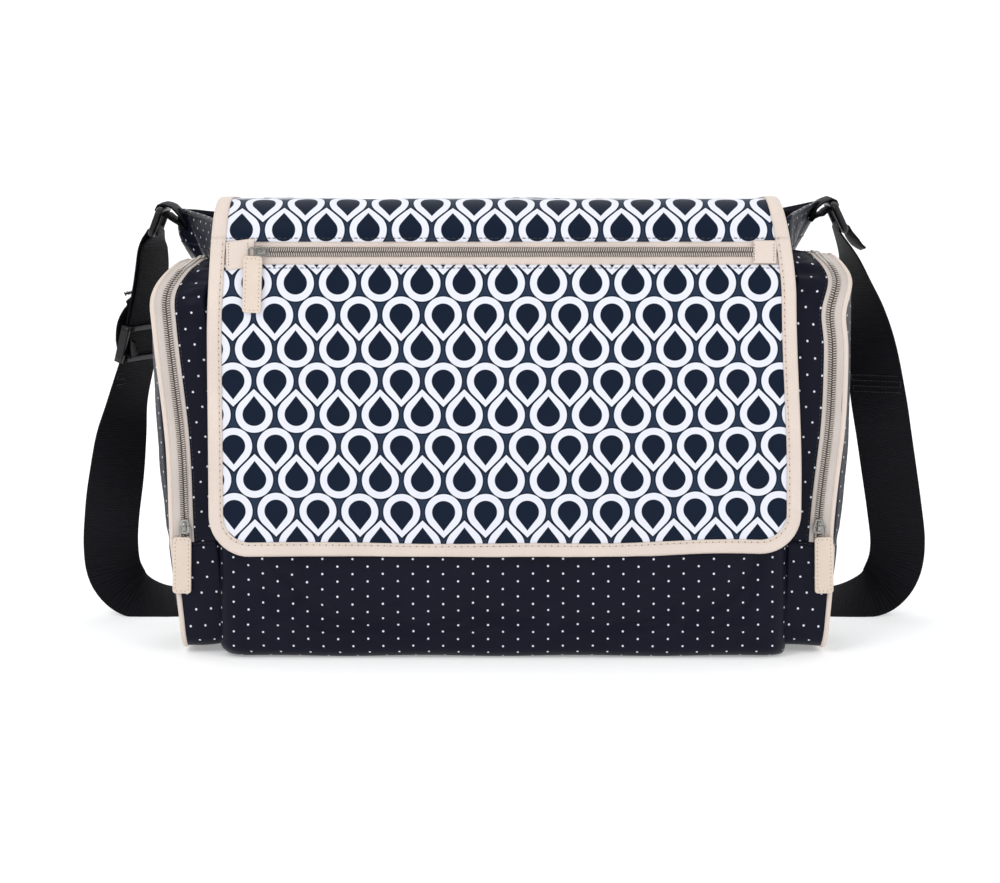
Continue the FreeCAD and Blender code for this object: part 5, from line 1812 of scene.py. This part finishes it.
    def build_stitches(self) -> None:
        """Stitches in four rows, back and forth, at one place on each side, where the webbing's end is sewn down."""
        lanes = []
        for (x, y, z), wide, up, out in (
                ((-293.5, 65.2, 197), (0.45, 0.89, 0), (0.25, -0.12, 0.96), (-0.86, -0.5, -0.1)),
                ((297.0, 68.2, 190), (-0.95, 0.3, 0), (-0.2, -0.16, 0.96), (0.3, -0.95, -0.1))):
            centre = np.array([x, y, z]) * MM
            side, top = unit(np.array(wide)), unit(np.array(up))
            normal = unit(np.cross(side, top))
            normal = normal if normal @ np.array(out) > 0 else -normal
            a, b = 19 * MM, 7 * MM
            corners = [(-a, -b), (a, -b), (a, -b / 3), (-a, -b / 3), (-a, b / 3), (a, b / 3), (a, b), (-a, b)]
            path = np.array([centre + side * u + top * v + normal * (self.thickness / 2 + 0.6 * MM)
                             for u, v in corners])
            lanes.append(pins_along("stitches", path, np.repeat(normal[None, :], len(path), axis=0), 2.8 * MM,
                                    2.3 * MM, 0.35 * MM, self.paint.dark_thread))
        stitches = joined("strap_end_stitches", lanes)
        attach(stitches, "strap")

    def build_adjuster(self) -> None:
        """Layer from the ring down to the middle bar of the tri-glide, with its turned and frayed end."""
        gap = 3.2
        outside = [(s[0] - gap, s[1] - 0.4, s[2], *s[3:]) for s in self.left[:4]]
        x, y, z, *width_way = self.left[4]
        folded = [(x + dx - gap - 1.2, y + dy - 0.6, z + dz, *way) for dx, dy, dz, way in (
            (2.6, 0.5, -1.5, width_way), (0.4, 0.0, -4.6, width_way), (-2.4, -0.6, -1.5, width_way),
            (-1.2, -1.8, 16, width_way), (2.6, -3.4, 32, (0.3, 0.95, 0)), (1.0, -4.4, 39, (0.3, 0.95, 0)))]
        stations = self.turn(self.left_bars[1], 80, 190)[:-1] + outside + folded
        layer = self.ribbon("adjuster_webbing", stations, drift=0.2 * MM)
        end = np.array(folded[-1][:3]) * MM
        wide = unit(np.array(folded[-1][3:]))
        rng = np.random.default_rng(4)
        count = 46
        across = np.linspace(-self.width / 2 + 1 * MM, self.width / 2 - 1 * MM, count)
        places = end + across[:, None] * wide + np.array([0, 0, 0.6 * MM])
        up = unit(np.column_stack([rng.normal(-0.25, 0.25, count), rng.normal(0, 0.25, count),
                                   np.ones(count)]))
        long = rng.uniform(0.8, 2.4, count) * MM
        side = unit(np.cross(up, [0, 1.0, 0]))
        third = np.cross(up, side)
        axes = np.stack([up * long[:, None], side * 0.3 * MM, third * 0.3 * MM], axis=1)
        fray = copies("fray", capsule(), places, axes, self.paint.webbing)
        layer = joined("adjuster_webbing", [layer, fray])
        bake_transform(layer, "strap", "tri_glide", tuple(np.array([self.left[1][0], 54, 292]) * MM),
                 tuple(np.array([self.left[4][0], 62, self.left[4][2] + 8]) * MM))
        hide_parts("strap_adjuster_layer")

    def build_glide(self) -> None:
        """Moulded tri-glide: two bars behind the webbing, one in front of it and a rail at each edge."""
        top, foot = (np.array(self.left[i][:3]) * MM for i in (3, 5))
        centre = np.array(self.left[4][:3]) * MM
        down = unit(foot - top)
        wide = unit(np.array(self.left[4][3:], float))
        wide = unit(wide - down * (wide @ down))
        inward = np.cross(down, wide)
        if inward[0] < 0:
            inward = -inward
        clear, deep = 1.25 * MM, 2.4 * MM
        edge, half = self.slot / 2 + 1.2 * MM, 15 * MM
        parts = []

        def bar(a: Grid, b: Grid, across: Grid, size: Pair) -> None:
            """Moulded bar from one place to another."""
            path = np.linspace(a, b, 8)
            along = unit(b - a)
            rows = np.repeat(across[None, :], 8, axis=0)
            high = np.repeat(np.cross(along, across)[None, :], 8, axis=0)
            parts.append(sweep("bar", path, rows, high, soft_bar(*size, 0.9 * MM, 4), self.paint.acetal))

        for offset, place, height in ((1, -half + 2 * MM, 4 * MM), (1, half - 2 * MM, 4 * MM),
                                      (-1, 0.0, 5 * MM)):
            middle = centre + down * place + inward * offset * (clear + deep / 2)
            bar(middle - wide * edge, middle + wide * edge, down, (height, deep))
        for side in (-1, 1):
            middle = centre + wide * side * (edge + 0.6 * MM)
            bar(middle - down * half, middle + down * half, wide, (3.6 * MM, 2 * (clear + deep)))
        glide = joined("adjuster_glide", parts)
        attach(glide, "tri_glide")
        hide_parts("tri_glide")

    def build_ring(self, side: int, bars: tuple) -> None:
        """Moulded rectangular ring of round section."""
        name = "left" if side < 0 else "right"
        top, low = (np.array([b[0], self.y / MM, b[1]]) * MM for b in bars)
        down = unit(low - top)
        reach = float(np.linalg.norm(low - top))
        half = self.slot / 2 + self.wire
        outline = np.array(soft_bar(2 * half, reach, 4 * MM, 5))
        wide = np.array([0.0, 1.0, 0.0])
        middle = (top + low) / 2
        path = middle + outline[:, :1] * wide + outline[:, 1:] * -down
        normal = unit(np.cross(wide, down))
        high = np.repeat(normal[None, :], len(path), axis=0)
        along = unit(np.roll(path, -1, axis=0) - np.roll(path, 1, axis=0))
        ring = sweep(name + "_strap_hardware", path, np.cross(along, high), high,
                     round_profile(self.wire, 14), self.paint.acetal, loop=True)
        refine(ring)
        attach(ring, "strap")
        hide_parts(name + "_strap_ring")

    def build_loop(self, side: int, bars: tuple) -> None:
        """Webbing loop from the gusset's top round the upper bar of the ring."""
        name = "left" if side < 0 else "right"
        x, z = bars[0]
        root = (side * (249.0 if side < 0 else 242.0), z - (9 if side < 0 else 6))
        y = self.y / MM
        away = 0 if side > 0 else 180
        start, stop = (away + 125 * side, away - 125 * side)
        arc = self.turn((x, z), start, stop, 1.3)
        first, last = arc[0], arc[-1]
        stations = [(root[0] - side * 4, y, root[1] - 4, 0, 1, 0), (root[0], y, root[1] + 2, 0, 1, 0),
                    (first[0] * 0.6 + root[0] * 0.4, y, first[2] - 1.5, 0, 1, 0)] + arc + [
                    (last[0] * 0.6 + root[0] * 0.4, y, last[2] - 4.5, 0, 1, 0),
                    (root[0] + side * 1.0, y, root[1] - 3, 0, 1, 0),
                    (root[0] - side * 3.0, y, root[1] - 7, 0, 1, 0)]
        loop = self.ribbon(name + "_webbing_loop", stations, width=38 * MM, drift=0.1 * MM)
        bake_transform(loop, "bag", "strap", (root[0] * MM, self.y, root[1] * MM), (x * MM, self.y, z * MM))
        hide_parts(name + "_strap_loop")


# ---- studio

def studio() -> None:
    """Pale floor and backdrop, soft light and the camera."""
    pale = Finish("paper, matt", "#F4F5F6", 0.9, Surface.CAST, 4 * MM, 0.01 * MM, 0.01, specular=0.0).finish()
    shader = pale.node_tree.nodes["Principled BSDF"]
    white = (1.0, 1.0, 1.0, 1.0)
    shader.inputs["Emission Color"].default_value = white
    shader.inputs["Emission Strength"].default_value = 0.30
    points, faces = [], []
    near, far, curve, top, side = -6.0, 1.6, 1.2, 5.0, 7.0
    profile = [(near, 0.0), (far, 0.0)] + [(far + curve * math.sin(a), curve - curve * math.cos(a))
                                           for a in np.linspace(0, math.pi / 2, 14)[1:]] + [(far + curve, top)]
    for y, z in profile:
        points += [(-side, y, z), (side, y, z)]
    for i in range(len(profile) - 1):
        faces.append([2 * i, 2 * i + 1, 2 * i + 3, 2 * i + 2])
    floor = make_mesh("paper_sweep", np.array(points), faces, None, pale)
    world = bpy.data.worlds.new("soft studio")
    world.use_nodes = True
    background = world.node_tree.nodes["Background"]
    background.inputs["Color"].default_value = white
    background.inputs["Strength"].default_value = 0.58
    bpy.context.scene.world = world
    for name, place, size, energy in (("key", (-1.5, -1.9, 2.2), 1.6, 24.0),
                                      ("fill", (1.9, -1.7, 1.4), 1.8, 12.0),
                                      ("top", (0.0, 0.3, 2.6), 2.4, 14.0)):
        light = bpy.data.lights.new(name, "AREA")
        light.shape = "DISK"
        light.size = size
        light.energy = energy
        lamp = bpy.data.objects.new(name, light)
        lamp.location = place
        lamp.rotation_euler = (Vector((0, 0, 0.15)) - Vector(place)).to_track_quat("-Z", "Y").to_euler()
        bpy.context.scene.collection.objects.link(lamp)
    target = Vector((0.0, -0.078, 0.165))
    raised, away, zoom, sensor = math.radians(8.5), 2.0, 2.694, 36.0
    data = bpy.data.cameras.new("front")
    data.sensor_width = sensor
    data.lens = zoom * sensor
    data.shift_x = -0.003
    camera = bpy.data.objects.new("front", data)
    camera.location = target + Vector((0.0, -away * math.cos(raised), away * math.sin(raised)))
    camera.rotation_euler = (math.pi / 2 - raised, 0.0, 0.0)
    bpy.context.scene.collection.objects.link(camera)
    bpy.context.scene.camera = camera
    bpy.context.scene.view_settings.view_transform = "Standard"


def paint_frame_nodes(paint: Palette) -> None:
    """Gives every node of the frame the finish of its material, for those that still show."""
    finishes = {"link": paint.nickel, "slider": paint.nickel, "ring": paint.acetal, "glide": paint.acetal,
                "webbing": paint.webbing, "loop": paint.webbing, "tape": paint.tape, "coil": paint.coil,
                "chain": paint.coil, "tab": paint.pull_leather, "binding": paint.leatherette,
                "piping": paint.leatherette, "facing": paint.lining, "lining": paint.lining,
                "sheet": paint.lining,
                "board": paint.board, "padding": paint.foam, "patches": paint.hook, "strap": paint.webbing,
                "flap": paint.printed}
    for name, obj in frame["nodes"].items():
        finish = next((f for word, f in finishes.items() if word in name), paint.satin)
        obj.data.materials.clear()
        obj.data.materials.append(finish)


def main() -> None:
    """Builds the bag and its studio, with logging switched on."""
    logging.basicConfig(level=logging.INFO)
    paint = Palette()
    paint_frame_nodes(paint)
    Body(paint).build()
    Flap(FlapSurface(), paint).build()
    SidePocket(-1, paint, PocketShape(-1, rise=4 * MM)).build()
    SidePocket(1, paint, PocketShape(1, rise=9 * MM, tuck=12 * MM, tuck_from=18 * MM, dent=3 * MM,
                                     draw_in=2 * MM)).build()
    Strap(paint).build()
    studio()


if __name__ == "__main__":
    main()
